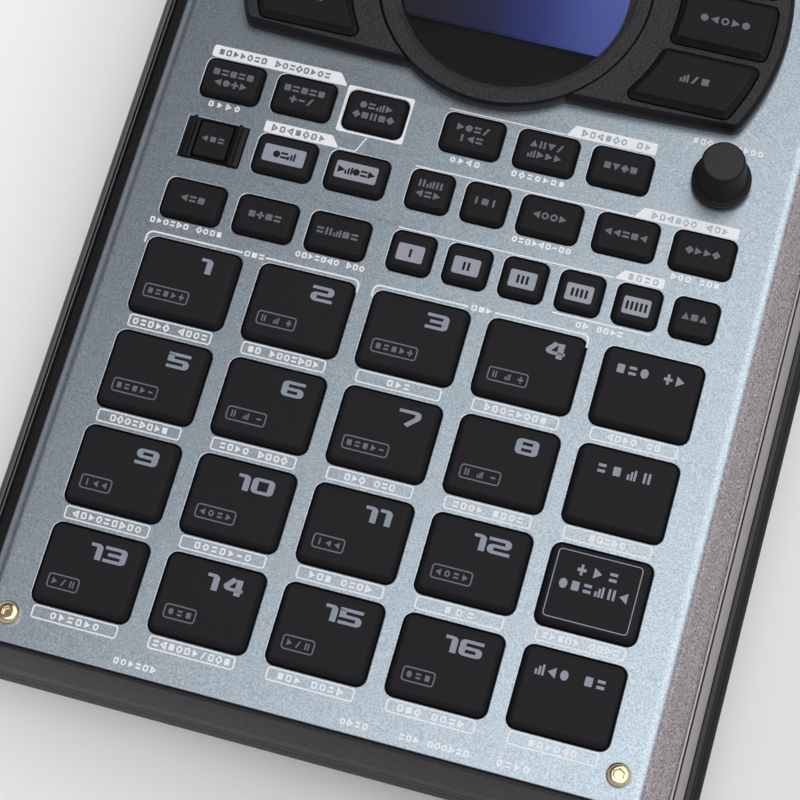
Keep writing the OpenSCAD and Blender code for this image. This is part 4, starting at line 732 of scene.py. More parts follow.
def build_upper_case():
    """Closed profile, from the parting line up over rail, groove and strip, down into the shadow groove and
    back along the shelf and the inner wall."""
    def outer(x, drop, inset=0.0):
        """Outer ring at half width x, drawn in by the inset at the flanks and a tenth of it at the ends."""
        return case_ring(x - inset, end_at(drop) - 0.1 * inset, drop, CORNER_R - 0.1 * inset)

    rail = [outer(RAIL_X, SEAM_DROP, 0.15), outer(RAIL_X, SEAM_DROP - 0.15), outer(RAIL_X, RAIL_DROP + 0.1),
            outer(RAIL_X - 0.12, RAIL_DROP - 0.15), outer(87.85, 20.0), outer(87.7, 19.75, 0.12),
            outer(87.6, 19.65), outer(STRIP_X + 0.15, 18.55), outer(STRIP_X, 18.45, 0.1),
            outer(STRIP_X, 18.4, 0.45), outer(STRIP_X, STRIP_DROP - 0.05, 0.45)]
    strip = [outer(STRIP_X, STRIP_DROP - 0.1, 0.06), outer(STRIP_X - 0.1, STRIP_DROP - 0.25),
             outer(85.75, 15.75), outer(85.6, 15.5, 0.22), outer(85.45, 15.2, 0.22), outer(85.42, 15.1),
             outer(LEDGE_X + 0.12, SKIRT_DROP + 0.27), outer(LEDGE_X, SKIRT_DROP + 0.05, 0.08),
             outer(LEDGE_X, SKIRT_DROP, 0.22), outer(LEDGE_X, SKIRT_DROP, 0.3)]
    groove = [outer(LEDGE_X, SKIRT_DROP + 0.1, 0.38), outer(LEDGE_X, SKIRT_DROP + 1.9, 0.5)]
    inside = [case_ring(SHELF_X, SHELF_Y, SKIRT_DROP + 1.9), case_ring(SHELF_X, SHELF_Y, 13.5),
              case_ring(82.4, end_at(13.5) - WALL, 13.5), case_ring(84.5, end_at(18) - WALL, 19.1),
              case_ring(RAIL_X - WALL, END_Y - WALL, SEAM_DROP)]
    rings = np.stack(rail + strip + groove + inside)
    solid = Solid().add(rings, grid_faces(*rings.shape[:2], wrap_rows=True))

    def end_ring(side, drop, inset):
        """Plan of the end lip: the case's outline in front of the seat line, closed by that line."""
        half_d = end_at(drop) - inset
        half_w = SKIRT_X - (SKIRT_X - LIP_X) * (SKIRT_DROP - min(drop, SKIRT_DROP)) / SKIRT_DROP - inset
        r, low = CORNER_R - inset, SEAT_END_Y
        start = math.degrees(math.asin((low - (half_d - r)) / r)) if low > half_d - r else 0.0
        right = arc((half_w - r, half_d - r), r, start, 90, 10)
        plan = np.concatenate([right, right[::-1] * (-1, 1)])
        plan = plan if side > 0 else plan[::-1] * (1, -1)
        return np.column_stack([plan, np.full(len(plan), -drop)])

    for side in (-1, 1):
        solid.stack([end_ring(side, 12.5, 0.3), end_ring(side, SKIRT_DROP + 0.02, 0.3),
                     end_ring(side, SKIRT_DROP, 0.0), end_ring(side, 0.25, 0.0), end_ring(side, 0.07, 0.05),
                     end_ring(side, 0.0, 0.18)])
        seat = SEAT_END_Y + 0.05
        solid.loft(round_rect(0, side * (SHELF_Y + seat) / 2, 2 * SEAT_X, seat - SHELF_Y, 0.2, 2),
                   [(0, -12.5), (0, -1.35)])
    flat = np.concatenate(solid.points)
    centre = np.array([flat[face].mean(0) for face in solid.faces])
    drop, along = -centre[:, 2], np.abs(centre[:, 1])
    at_end = along > END_Y - CORNER_R * 1.1 - 2.0 * (drop < RAIL_DROP)
    within = (drop > 13) & (np.abs(centre[:, 0]) < STRIP_X - 3.5)
    texture, strip_paint, smooth = 0, 1, 2
    mesh = solid.mesh("upper_frame", on_panel)
    paint_faces(mesh, np.select(
        [at_end & (drop > RAIL_DROP - 0.3), at_end | within, drop > 15.15, drop > SKIRT_DROP + 0.03,
         drop > SKIRT_DROP - 0.05], [smooth, texture, smooth, strip_paint, smooth], texture))
    finish_piece("upper_frame", mesh, "case", [CASE_PLASTIC, STRIP_PAINT, EDGE_PLASTIC],
                 ("upper_case",), 30)


# ---------------------------------------------------------------------------
# Pads, keys and their marks
# ---------------------------------------------------------------------------
def plunger(solid, x, y, high):
    """Round stem from the dome on the board up into a key."""
    return solid.revolve([(1.4, DOME_TOP), (1.5, DOME_TOP + 0.1), (1.5, high)], (x, y), 20)


def button(solid, x, y, w, d, r, height, radius):
    """Flange under the sheet, upright foot, tapered sides and a quarter-round upper edge, on a stem."""
    foot = [(-FLANGE_W, FLANGE_BOTTOM), (-FLANGE_W, FLANGE_TOP), (0.0, FLANGE_TOP), (0.0, 0.0)]
    solid.loft(round_rect(x, y, w, d, r, 7), foot + edge(radius, height, DRAFT, 6))
    return plunger(solid, x, y, FLANGE_BOTTOM + 0.05)


DIGIT_W, ONE_W, DIGIT_H, DIGIT_PEN, DIGIT_GAP = 5.3, 2.9, 3.75, (1.45, 0.75), 0.5


def digit(solid, value, x, y, low, high):
    """Plain numeral drawn with a broad pen, its lower left corner at (x, y)."""
    w, h, pen, r = DIGIT_W, DIGIT_H, DIGIT_PEN, 0.55
    left, right = x + pen[0] / 2, x + w - pen[0] / 2
    foot, mid, top = y + pen[1] / 2, y + h / 2, y + h - pen[1] / 2
    inner_l, inner_r, tip_l, tip_r = left + pen[0] / 2, right - pen[0] / 2, x, x + w
    strokes = {
        0: [([(left, foot), (right, foot), (right, top), (left, top)], True)],
        1: [([(x, top), (x + ONE_W - pen[0] / 2, top), (x + ONE_W - pen[0] / 2, y)], False)],
        2: [([(tip_l, top), (right, top), (right, mid), (left, mid), (left, foot), (tip_r, foot)], False)],
        3: [([(tip_l, top), (right, top), (right, foot), (tip_l, foot)], False),
            ([(x + 0.9, mid), (inner_r, mid)], False)],
        4: [([(x + 3.0, y + h), (x + 0.75, y + 1.25), (tip_r, y + 1.25)], False),
            ([(right - 0.45, y + h), (right - 0.45, y)], False)],
        5: [([(tip_r, top), (x, top)], False), ([(left, top), (left, mid - pen[1] / 2)], False),
            ([(inner_l, mid), (right, mid), (right, foot), (tip_l, foot)], False)],
        6: [([(tip_r, top), (left, top), (left, foot), (right, foot), (right, mid), (inner_l, mid)], False)],
        7: [([(tip_l, top), (right, top), (right, mid + 0.3), (x + w * 0.42, y)], False)],
        8: [([(left, foot), (right, foot), (right, top), (left, top)], True),
            ([(inner_l, mid), (inner_r, mid)], False)],
        9: [([(tip_l, foot), (right, foot), (right, top), (left, top), (left, mid), (inner_r, mid)], False)],
    }[value]
    for path, closed in strokes:
        solid.ribbon(rounded_path(path, r, closed), pen, low, high, closed)


def number(solid, value, right, y, low, high):
    """Number that ends at x = right; a lone 1 stands a little further in."""
    digits = [int(c) for c in str(value)]
    widths = [ONE_W if d == 1 else DIGIT_W for d in digits]
    x = right - sum(widths) - DIGIT_GAP * (len(digits) - 1) - (1.9 if digits == [1] else 0)
    for d, width in zip(digits, widths):
        digit(solid, d, x, y, low, high)
        x += width + DIGIT_GAP


def bar(x, y, w, d):
    """Upright rectangle about (x, y)."""
    return np.array([(x + w / 2, y + d / 2), (x - w / 2, y + d / 2), (x - w / 2, y - d / 2), (x + w / 2, y - d / 2)])


def plus(half, thick):
    """Outline of a cross: its arms reach half, and are thick wide."""
    t = thick / 2
    corner = [(half, t), (t, t), (t, half), (-t, half), (-t, t), (-half, t)]
    return np.array(corner + [(-x, -y) for x, y in corner])


# Generic signs of height 1 about their middle, as outlines that run counter-clockwise, and as closed lines
ARROW = np.array([(-0.42, -0.5), (0.50, 0.0), (-0.42, 0.5)])
SIGNS = {
    ">": [ARROW], "<": [-ARROW], "^": [ARROW[:, ::-1] * (-1, 1)], "v": [ARROW[:, ::-1] * (1, -1)],
    "#": [round_rect(0, 0, 0.86, 0.86, 0.10, 2)], "o": [circle(0, 0, 0.46, 20)], "*": [circle(0, 0, 0.56, 4)],
    "+": [plus(0.5, 0.30)], "|": [bar(0, 0, 0.28, 1.0)], ":": [bar(-0.26, 0, 0.28, 1.0), bar(0.26, 0, 0.28, 1.0)],
    "-": [bar(0, 0, 0.84, 0.28)], "=": [bar(0, 0.27, 0.88, 0.28), bar(0, -0.27, 0.88, 0.28)],
    "/": [np.array([(-0.42, -0.5), (-0.12, -0.5), (0.42, 0.5), (0.12, 0.5)])],
    "%": [bar(-0.38, -0.25, 0.26, 0.5), bar(0.0, -0.10, 0.26, 0.8), bar(0.38, 0.0, 0.26, 1.0)],
}
LINES = {"@": circle(0, 0, 0.36, 16), "[": round_rect(0, 0, 0.66, 0.72, 0.12, 2), "A": ARROW * 0.78,
         "V": -ARROW * 0.78, "D": circle(0, 0, 0.46, 4)}
# Width of a closed line, as a share of the sign's height
PEN = 0.23


def symbol(solid, kind, x, y, s, low, high, narrow=1.0):
    """One generic sign of height s about (x, y), filled or drawn with a line."""
    size = np.array([s * narrow, s])
    if kind in LINES:
        solid.ribbon(size * LINES[kind] + (x, y), (s * PEN, s * PEN), low, high, True)
    for outline in SIGNS.get(kind, []):
        solid.patch(size * outline + (x, y), low, high)


def legend(solid, signs, x, y, s, low, high, pitch):
    """Row of generic signs of height s at a pitch, centred on (x, y)."""
    for i, kind in enumerate(signs):
        symbol(solid, kind, x + (i - (len(signs) - 1) / 2) * pitch, y, s, low, high)


def legend_between(solid, signs, x0, x1, y, s, low, high):
    """Row of narrow generic signs of height s spread from x0 to x1, as many of them as fit."""
    signs = signs[:int((x1 - x0 - 0.8 * s) / s) + 1]
    for i, kind in enumerate(signs):
        symbol(solid, kind, x0 + 0.4 * s + (x1 - x0 - 0.8 * s) * i / max(len(signs) - 1, 1), y, s, low, high, 0.8)


def frame_line(solid, x, y, w, d, line, r, low, high):
    """Outline box about (x, y) with round corners."""
    solid.ribbon(offset(round_rect(x, y, w, d, r, 4), line / 2), (line, line), low, high, True)


# Signs and box width of each numbered pad
PAD_SIGNS = [("#=#>+", 10.97), (":%+", 9.5), ("#=#>+", 10.97), (":%+", 9.5),
             ("#=#>-", 10.97), (":%-", 9.5), ("#=#>-", 10.97), (":%-", 9.5),
             ("|<<", 7.5), ("<@=>", 9.5), ("|<<", 7.5), ("<@=>", 9.5),
             (">/:", 7.5), ("o=#", 7.5), (">/:", 7.5), ("o=#", 7.5)]


def build_pads():
    """Sixteen numbered pads, each with a boxed sign, and the column of four pads beside them."""
    low, high = PAD_H - 0.02, PAD_H + 0.02

    def cap(name, x, y):
        """Rubber cap that stands for the pad of that name."""
        pad = button(Solid(), x, y, PAD_W, PAD_D, PAD_R, PAD_H, 0.8)
        make(f"{name}_cap", pad, name, PAD_RUBBER, (name,))

    for index in range(16):
        x, y = PAD_X[index % 4], PAD_Y[index // 4]
        name = f"pad_{index + 1}"
        cap(name, x, y)
        marks = Solid()
        number(marks, index + 1, x + 7.5, y + 2.65, low, high)
        make(f"{name}_number", marks, name, SLATE_INK)
        signs, width = PAD_SIGNS[index]
        small, left, line_y = Solid(), x - 8.55, y - 4.35
        frame_line(small, left + width / 2, line_y, width, 3.45, 0.32, 0.8, low, high)
        legend_between(small, signs, left + 1.05, left + width - 1.05, line_y, 1.6, low, high)
        make(f"{name}_sign", small, name, DIM_INK)
    for row, signs in enumerate(("#=o +>", "=#%:", "+>=", "%<o #=>")):
        x, y = PAD_X[4], PAD_Y[row]
        name = f"function_pad_{row + 1}"
        cap(name, x, y)
        marks = Solid()
        half = {3: 4.6, 4: 6.2}.get(len(signs), 7.9)
        legend_between(marks, signs, x - half - 0.2, x + half - 0.2, y + 4.1, 2.5, low, high)
        if row == 2:
            legend_between(marks, "o#=%:<", x - 8.1, x + 7.7, y + 0.2, 2.5, low, high)
            frame_line(marks, x - 0.2, y, 19.4, 16.0, 0.22, 0.9, low, high)
        make(f"{name}_mark", marks, name, SLATE_INK)


def build_keys():
    """Keys of the three rows: (node, x places, row, width, signs of each key, a space before its second line)."""
    rows = [("keys_sequence", LEFT_X, 0, KEY_W, ["#=#=# <o+>", "#=#=# +-/", "o=%> *#:#*"]),
            ("keys_edit", EDIT_X, 0, KEY_W, [">o=/ |<=", "^:v/ %>>>", "#v*#"]),
            ("key_record", LEFT_X[1:2], 1, KEY_W, ["o=%"]),
            ("key_resample", LEFT_X[2:], 1, KEY_W, [">%o=>"]),
            ("keys_mode_small", SMALL_X[:2], 1, SMALL_W, [":%: <=>", "|#|"]),
            ("keys_mode_wide", MODE_X, 1, KEY_W, ["<@@>", "<<=#<", "*>>*"]),
            ("keys_play", LEFT_X, 2, KEY_W, ["<=#", "#+#=", "=:%#="]),
            ("keys_bank", SMALL_X[:5], 2, SMALL_W, ["|" * n for n in range(1, 6)]),
            ("key_shift", SMALL_X[5:], 2, SMALL_W, ["^#^"])]
    windows = {"key_record": (10.25, 4.4, 0.0), "key_resample": (10.25, 4.4, 0.0), "keys_bank": (6.4, 4.3, -0.5)}
    low, high = KEY_H - 0.02, KEY_H + 0.02
    for node, places, row, width, signs in rows:
        y = KEY_Y[row]
        caps, marks, lights = Solid(), Solid(), Solid()
        for x, sign in zip(places, signs):
            first, _, second = sign.partition(" ")
            button(caps, x, y, width, KEY_D, KEY_R, KEY_H, 0.7)
            if node in windows:
                w, d, shift = windows[node]
                lights.loft(round_rect(x, y + shift, w, d, 0.5, 3), [(0, low), (0, high)])
                s, pitch = (2.1, 1.1) if node == "keys_bank" else (1.9, 1.85)
                legend(marks, first, x, y + shift, s, high - 0.01, high + 0.02, pitch)
            else:
                s, pitch = 1.85, 2.1
                legend(marks, first, x, y + (1.25 if second else 0.1), s, low, high, pitch)
                legend(marks, second, x, y - 1.4, s, low, high, pitch)
        make(f"{node}_caps", caps, node, KEY_PLASTIC, (node,))
        if node in windows:
            make(f"{node}_windows", lights, node, WINDOW)
            make(f"{node}_marks", marks, node, KEY_PLASTIC)
        else:
            make(f"{node}_marks", marks, node, DIM_INK)


def build_guarded_key():
    """Shroud with a ridge along each side of a sunk key. Each ridge is one section carried from front to back."""
    x, y = LEFT_X[0], KEY_Y[1]
    inner = GUARD_KEY_W + 2 * GAP
    guard, rim = Solid(), [(0, 0.1), (0.1, 0.2)]
    guard.plate([(round_rect(x, y, GUARD_W, GUARD_D, 0.3, 2),
                  [(-FLANGE_W, FLANGE_BOTTOM), (-FLANGE_W, -1.3), (0, -1.3)] + rim),
                 (round_rect(x, y, inner, KEY_D, 0.3, 2)[::-1], [(0, FLANGE_BOTTOM)] + rim)])
    section = np.array([(inner / 2, 0.0), (GUARD_W / 2, 0.0), (GUARD_W / 2, 0.3), (6.35, 0.65), (6.1, 1.35),
                        (6.0, 1.52), (5.88, GUARD_H), (5.5, GUARD_H), (5.36, 1.52), (5.26, 1.35), (5.1, 0.6),
                        (4.9, 0.45), (inner / 2, 0.4)])
    for side in (-1, 1):
        ring = section if side > 0 else section[::-1]
        end = GUARD_D / 2
        guard.stack([np.column_stack([x + side * (ring[:, 0] * k + RIDGE_X * (1 - k)), np.full(len(ring), y + along),
                                      ring[:, 1] * k + 0.2 * (1 - k)])
                     for along, k in ((end, 0.9), (end - 0.15, 1.0), (0.15 - end, 1.0), (-end, 0.9))])
    make("guard_walls", guard, "case", EDGE_PLASTIC, ("key_guard",))
    sunk, marks = Solid(), Solid()
    top, shelf = GUARD_H * 0.6, FLANGE_BOTTOM - 0.3
    sunk.loft(round_rect(x, y, GUARD_KEY_W, KEY_D - 2 * GAP, 0.6, 4),
              [(0, shelf - 0.02), (0, 0.0)] + edge(0.4, top, 0.1, 5))
    sunk.loft(round_rect(x, y, GUARD_W, GUARD_D, 0.4, 2), [(0, shelf - 1.2), (0, shelf)])
    plunger(sunk, x, y, shelf - 1.15)
    legend(marks, "<#=", x, y + 0.1, 1.6, top - 0.02, top + 0.02, 2.0)
    make("key_delete_cap", sunk, "key_delete", KEY_PLASTIC, ("key_delete",))
    make("key_delete_mark", marks, "key_delete", DIM_INK)


# ---------------------------------------------------------------------------
# Section round the display
# ---------------------------------------------------------------------------
def build_effect_section():
    """Plate in two halves over a base ring, the display's ring, its glass and screen, and the six effect keys."""
    round_display = (0, EFFECT_Y), RING_N
    bevel = [(0, 0.1), (0, EFFECT_H - EFFECT_BEVEL), (0.10, EFFECT_H - EFFECT_BEVEL + 0.22),
             (0.72, EFFECT_H - 0.18), (0.95, EFFECT_H), (1.02, EFFECT_H)]
    under, plate, wall_faces = EFFECT_FLANGE + 0.1, Solid(), []
    for side in (-1, 1):
        wall_faces.append((len(plate.faces), (len(bevel) - 1) * len(section_half(side, 0))))
        loops = [(lambda inset, side=side: section_half(side, inset), bevel)]
        for row in range(3):
            hole = offset(effect_key_outline(row, side), -GAP)[::-1]
            loops.append((hole, [(under, 0.1), (under, 2.1), (0, 2.1), (0, EFFECT_H - 0.3), (0.08, EFFECT_H - 0.08),
                                 (0.3, EFFECT_H), (0.37, EFFECT_H)]))
        plate.plate(loops)
    plate.band([(RING_IN, 0.1), (RING_R, 0.1), (RING_R, 1.0), (RING_IN, 1.0)], *round_display)
    mesh = plate.mesh("section_plate", on_panel)
    kind = np.zeros(len(mesh.polygons))
    kind[-4 * RING_N:] = 1
    for first, count in wall_faces:
        kind[first:first + count] = 1
    paint_faces(mesh, kind)
    finish_piece("section_plate", mesh, "case", [BEZEL_PLASTIC, EDGE_PLASTIC], ("effect_bezel",), 32)

    top = EFFECT_H - 0.3
    seat = top - 1.6
    wall = [(RING_IN, 1.05), (RING_R - 0.1, 1.05), (RING_R, 1.15), (RING_R, EFFECT_H - 0.8),
            (RING_R - 0.15, EFFECT_H - 0.4)]
    ring = wall + [(RING_R - 0.4, EFFECT_H - 0.12), (RING_R - 0.7, EFFECT_H), (RING_R - 0.8, EFFECT_H),
                   (LENS_R + 0.65, EFFECT_H), (LENS_R + 0.55, EFFECT_H - 0.01), (LENS_R + 0.2, EFFECT_H - 0.25),
                   (LENS_R + 0.1, EFFECT_H - 0.45), (LENS_R + 0.1, seat), (RING_IN, seat)]
    mesh = Solid().band(ring, *round_display).mesh("display_band", on_panel)
    paint_faces(mesh, np.repeat(np.arange(len(ring)) < len(wall), RING_N))
    finish_piece("display_band", mesh, "case", [BEZEL_PLASTIC, EDGE_PLASTIC], ("display_ring",), 32)

    lens = Solid().revolve([(LENS_R - 0.15, top - 1.5), (LENS_R, top - 1.35), (LENS_R, top - 0.25),
                            (LENS_R - 0.25, top), (LENS_R - 0.35, top)], *round_display)
    make("display_glass", lens, "case", LENS_GLASS, ("display_lens",), 32)

    glass_top, tray = top - 1.7, LENS_R - 1.5
    half = math.degrees(math.asin(SCREEN_D / tray))
    screen = np.concatenate([arc((0, EFFECT_Y), tray - 0.1, start - half, start + half, 24) for start in (0, 180)])
    carrier = Solid().revolve([(tray, BOARD_TOP), (tray, glass_top - 1.6)], (0, EFFECT_Y), 96)
    make("screen_carrier", carrier, "case", SCREEN_DARK, ("screen_module",), 32)
    glass = Solid().loft(screen, [(0, glass_top - 1.62), (0, glass_top - 0.1), (0.1, glass_top), (0.16, glass_top)])
    make("screen_field", glass, "case", SCREEN_LIT, (), 32)

    signs = (("<@#=", "*%:*", "+=o#"), ("#>:=", "o<@>o", "%/#"))
    for index in range(6):
        side, row = (-1, 1)[index // 3], 2 - index % 3
        name = f"effect_key_{index + 1}"
        outline = effect_key_outline(row, side)
        low, top = 1.8, EFFECT_H + EFFECT_KEY_H
        cap = Solid().loft(outline, [(-EFFECT_FLANGE, low - 1.2), (-EFFECT_FLANGE, low), (0, low), (0, EFFECT_H)]
                           + edge(0.5, top, EFFECT_DRAFT, 5, 0.0)[:-1] + [(EFFECT_DRAFT + 0.5, top)])
        middle = outline.mean(0)
        plunger(cap, *middle, low - 1.15)
        make(f"{name}_cap", cap, name, KEY_PLASTIC, (name,))
        marks = Solid()
        legend(marks, signs[index // 3][index % 3], middle[0], middle[1], 2.0, top - 0.02, top + 0.02, 2.5)
        make(f"{name}_mark", marks, name, DIM_INK)


# ---------------------------------------------------------------------------
# White print on the sheet
# ---------------------------------------------------------------------------
def build_print():
    """Frames, tabs with dark words, brackets and rows of small signs."""
    ink = Solid()
    low, high = -0.02, INK
    framed_key, flat = (LEFT_X[2], KEY_Y[0]), [(0, low), (0, high)]
    outer = round_rect(*framed_key, 16.5, 12.2, 0.5, 4)
    inner = round_rect(*framed_key, KEY_W + 2 * GAP + 0.7, KEY_D + 2 * GAP + 0.7, KEY_R + GAP + 0.3, 5)[::-1]
    ink.plate([(outer, flat), (inner, flat)])
    for tab in ([(-66.5, 17.8), (-32.5, 17.8), (-34.9, 20.9), (-66.5, 20.9), (-66.9, 20.5), (-66.9, 18.2)],
                [(-49.0, 1.7), (-30.1, 1.7), (-32.4, 4.6), (-49.0, 4.6)],
                [(41.9, 1.7), (66.7, 1.7), (66.7, 4.5), (44.0, 4.5)],
                [(21.4, 17.95), (43.1, 17.95), (43.1, 21.0), (23.3, 21.0)],
                [(41.4, -14.3), (52.9, -14.3), (52.9, -11.8), (43.3, -11.8)]):
        ink.patch(rounded_path(tab, 0.25, True, 3), low, high)
    for path in ([(-30.1, 1.87), (-26.1, 1.87), (-24.3, 6.0)], [(-11.1, 1.86), (41.9, 1.86)],
                 [(-7.1, 18.11), (21.4, 18.11)], [(-10.8, -14.15), (41.4, -14.15)],
                 [(29.6, -25.95), (52.8, -25.95)]):
        ink.ribbon(path, (0.32, 0.32), low, high)
    for path in ([(-68.1, -32.5), (-68.1, -29.4), (-44.6, -29.4)], [(-38.9, -29.4), (-15.8, -29.4), (-15.8, -32.5)],
                 [(-12.2, -32.5), (-12.2, -29.4), (10.4, -29.4)], [(16.8, -29.4), (39.4, -29.4), (39.4, -32.5)]):
        ink.ribbon(rounded_path(path, 2.5, False, 6), (0.45, 0.45), low, high)
    for x, signs in ((-41.75, "[#="), (13.6, "[#>")):
        legend(ink, signs, x, -29.4, 1.5, low, high, 1.75)
    # Rows of signs: from and to x, and y
    words = [("[>A@", -63.9, -56.1, 5.6), ("@>V[", -3.6, 3.6, 5.5), ("[D=@>[#", 11.4, 24.2, 5.5),
             ("@=[>V[-[@#", 15.8, 30.0, -10.5), ("A@[ =[#", 53.9, 65.3, -10.5),
             ("[>@=A[ D@[#", -68.6, -50.8, -26.5), ("@[>=[V@ A[@", -32.5, -15.6, -26.5),
             ("[A @[>=", 35.6, 46.7, -27.5), ("#[D@ >=A[@", 50.8, 67.5, 24.1),
             ("[@>=[A", -44.4, -34.4, -130.25), ("@A=[", 8.6, 15.0, -130.25), ("=[> [D@A=[", 22.2, 38.1, -130.25),
             ("[=>[A", 44.4, 51.7, -130.25)]
    for signs, x0, x1, y in words:
        legend_between(ink, signs, x0, x1, y, 1.55, low, high)
    # Signs and width of the boxed label in front of each pad
    labels = [("@=[>D V[@=A[>#", 18.3), ("#[ >[@=A[>@", 17.2), ("[>=", 5.4), ("A[@=>D[#[", 14.6),
              ("[D@=A[>#", 14.0), ("=[>@ A[@D=", 16.2), ("[>D @=[A", 12.0), ("=[@> #[@=>D", 16.4),
              ("V[>@=[A[@", 16.4), ("[@=[>-@A", 13.4), (">[# @=[A@", 14.6), ("#[=A", 6.6),
              ("@>=[>@[", 11.6), ("=V#@[>/[D#@[>", 18.2), ("#[> [@=A[>", 15.2), ("[#D [@=A[>", 15.2)]
    more = [("V[>@ =[A", 12.4), ("#[=A@", 8.4), ("=>#[> @[A=[>D", 17.6), ("#[>@V[A", 11.0)]
    for row in range(4):
        for column in range(5):
            x, y = PAD_X[column] - 0.1, PAD_Y[row] - LABEL_DROP
            frame_line(ink, x, y, 20.4, 3.2, 0.35, 0.7, low, high)
            signs, width = more[row] if column == 4 else labels[4 * row + column]
            legend_between(ink, signs, x - width / 2, x + width / 2, y, 1.75, low, high)
    make("panel_print", ink, "case", WHITE_INK)
    dark = Solid()
    for text, x0, x1, y in (("#[>>@=[ A@=D[>@=", -65.4, -37.3, 19.35), ("A[V#D[>@", -47.2, -34.0, 3.15),
                            ("A[V#D@ V[>@", 46.0, 64.2, 3.1), ("A[V#D@ [>[>", 25.0, 41.6, 19.5),
                            ("#[=@", 44.4, 51.6, -13.05)):
        legend_between(dark, text, x0, x1, y, 1.75, INK - 0.01, INK + 0.02)
    make("panel_print_dark", dark, "case", PANEL_PAINT)


# ---------------------------------------------------------------------------
# Knobs, encoder, screws and feet
# ---------------------------------------------------------------------------
def ribs(count, depth, first, last, width=0.5):
    """Rounded grooves round a knob between two rows of its profile: the crests of a cosine above width."""
    def cut(a, row):
        """Depth taken off the radius at angle a of a row."""
        wave = np.clip((np.cos(a * count) - width) / (1 - width), 0, 1)
        return depth * wave * (first <= row <= last)

    return cut


def build_knobs():
    """Four fluted knobs with pointers, and the encoder's spindle, grip and top disc, the disc lighter in colour as
    painted light on its top.
    """
    names = ["volume_knob", "control_knob_1", "control_knob_2", "control_knob_3"]
    body = [(6.6, LIFT), (7.2, LIFT), (KNOB_R, LIFT + 0.2), (KNOB_R, LIFT + 1.7), (KNOB_R - 0.15, LIFT + 2.0),
            (KNOB_R - 0.5, LIFT + 2.4), (KNOB_R - 0.62, LIFT + 2.8), (KNOB_R - 1.05, KNOB_H - 1.6),
            (KNOB_R - 1.12, KNOB_H - 1.1), (KNOB_R - 1.3, KNOB_H - 0.6), (KNOB_R - 1.7, KNOB_H - 0.15),
            (KNOB_R - 2.1, KNOB_H), (KNOB_R - 2.3, KNOB_H), (4.2, KNOB_H), (4.1, KNOB_H - 0.25), (3.9, KNOB_H - 0.3)]
    for name, x in zip(names, KNOB_X):
        knob = Solid().revolve(body, (x, KNOB_Y), 240, ribs(24, 0.35, 6, 8))
        knob.revolve([(SHAFT_R - 0.1, BOARD_TOP + 1.2), (SHAFT_R, BOARD_TOP + 1.4), (SHAFT_R, LIFT + 0.1)],
                     (x, KNOB_Y), 32)
        make(f"{name}_body", knob, name, KNOB_PLASTIC, (name,), 50)
        line = Solid().loft(round_rect(x, KNOB_Y + 4.65, 0.7, 1.1, 0.2, 3), [(0, KNOB_H - 0.05), (0, KNOB_H)])
        make(f"{name}_pointer", line, name, WHITE_INK)
    shaft = Solid().revolve([(SHAFT_R - 0.2, BOARD_TOP + 1.5), (SHAFT_R, BOARD_TOP + 1.7), (SHAFT_R, 8.9),
                             (SHAFT_R - 0.2, 9.1)], ENCODER, 40)
    make("encoder_spindle", shaft, "encoder_shaft", STEEL, ("encoder_shaft",))
    top, bore = ENCODER_H, SHAFT_R + 0.06
    foot = [(bore, top - 3.2), (bore, LIFT), (6.7, LIFT), (7.0, LIFT + 0.3), (7.0, LIFT + 1.3),
            (6.9, LIFT + 1.55), (6.65, LIFT + 1.7), (6.05, LIFT + 1.72)]
    grip = [(5.85, LIFT + 2.0), (5.15, top - 0.9), (5.05, top - 0.6), (4.85, top - 0.3), (4.6, top - 0.15),
            (4.4, top - 0.1), (4.3, top - 0.1)]
    knob = Solid().revolve(foot + grip, ENCODER, 192, ribs(48, 0.03, len(foot), len(foot) + 1, 0.3))
    make("encoder_grip", knob, "encoder_knob", KEY_PLASTIC, ("encoder_knob",), 50)
    # Top disc in the lighter colour that is painted light on the encoder's top.
    disc = Solid().revolve([(4.5, top - 0.14), (4.55, top - 0.08), (4.4, top - 0.01), (4.25, top)], ENCODER, 96)
    make("encoder_top", disc, "encoder_knob", PAINTED_LIT_TOP, (), 50)


def screw(solid, x, y, base, length):
    """Button head with a hexagon socket: domed rows outside, six-sided rows inside, joined on one grid."""
    n = 48
    a = np.linspace(0, 2 * math.pi, n, endpoint=False)
    hexagon = 1 / np.maximum(np.cos((a + math.pi / 6) % (math.pi / 3) - math.pi / 6), 0.5)
    rows = [(1.45, -length), (1.45, 0.0), (HEAD_R - 0.08, 0.0), (HEAD_R, 0.1)]
    rows += [(HEAD_R * (0.50 + 0.50 * math.cos(t)), HEAD_H * (0.22 + 0.78 * math.sin(t)))
             for t in np.radians((0, 15, 30, 45, 60, 75, 88))]
    rows += [(1.25 * hexagon, HEAD_H), (1.18 * hexagon, HEAD_H - 0.08), (1.15 * hexagon, 0.6), (hexagon, 0.5)]
    solid.revolve([(r, base + h) for r, h in rows], (x, y), n)


def build_small_parts():
    """Panel screws and turned rubber feet."""
    screws = Solid()
    for a in (-1, 1):
        for b in (-1, 1):
            screw(screws, a * SCREW_X, b * SCREW_Y, 0.1, 8)
    make("panel_screw_set", screws, "case", GOLD_PLATE, ("panel_screws",), 30)
    low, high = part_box("feet")
    feet = Solid()
    for x in (low.x / MM + 7, high.x / MM - 7):
        for y in (low.y / MM + 7, high.y / MM - 7):
            feet.revolve([(4.6, 0.7), (5.0, 0.25), (5.4, 0.0), (6.2, 0.0), (6.75, 0.25), (7.0, 0.9), (7.0, 4.0),
                          (6.8, 4.2)], (x, y), 56)
    make("rubber_feet", feet, "case", FOOT_RUBBER, ("feet",), place=upright)


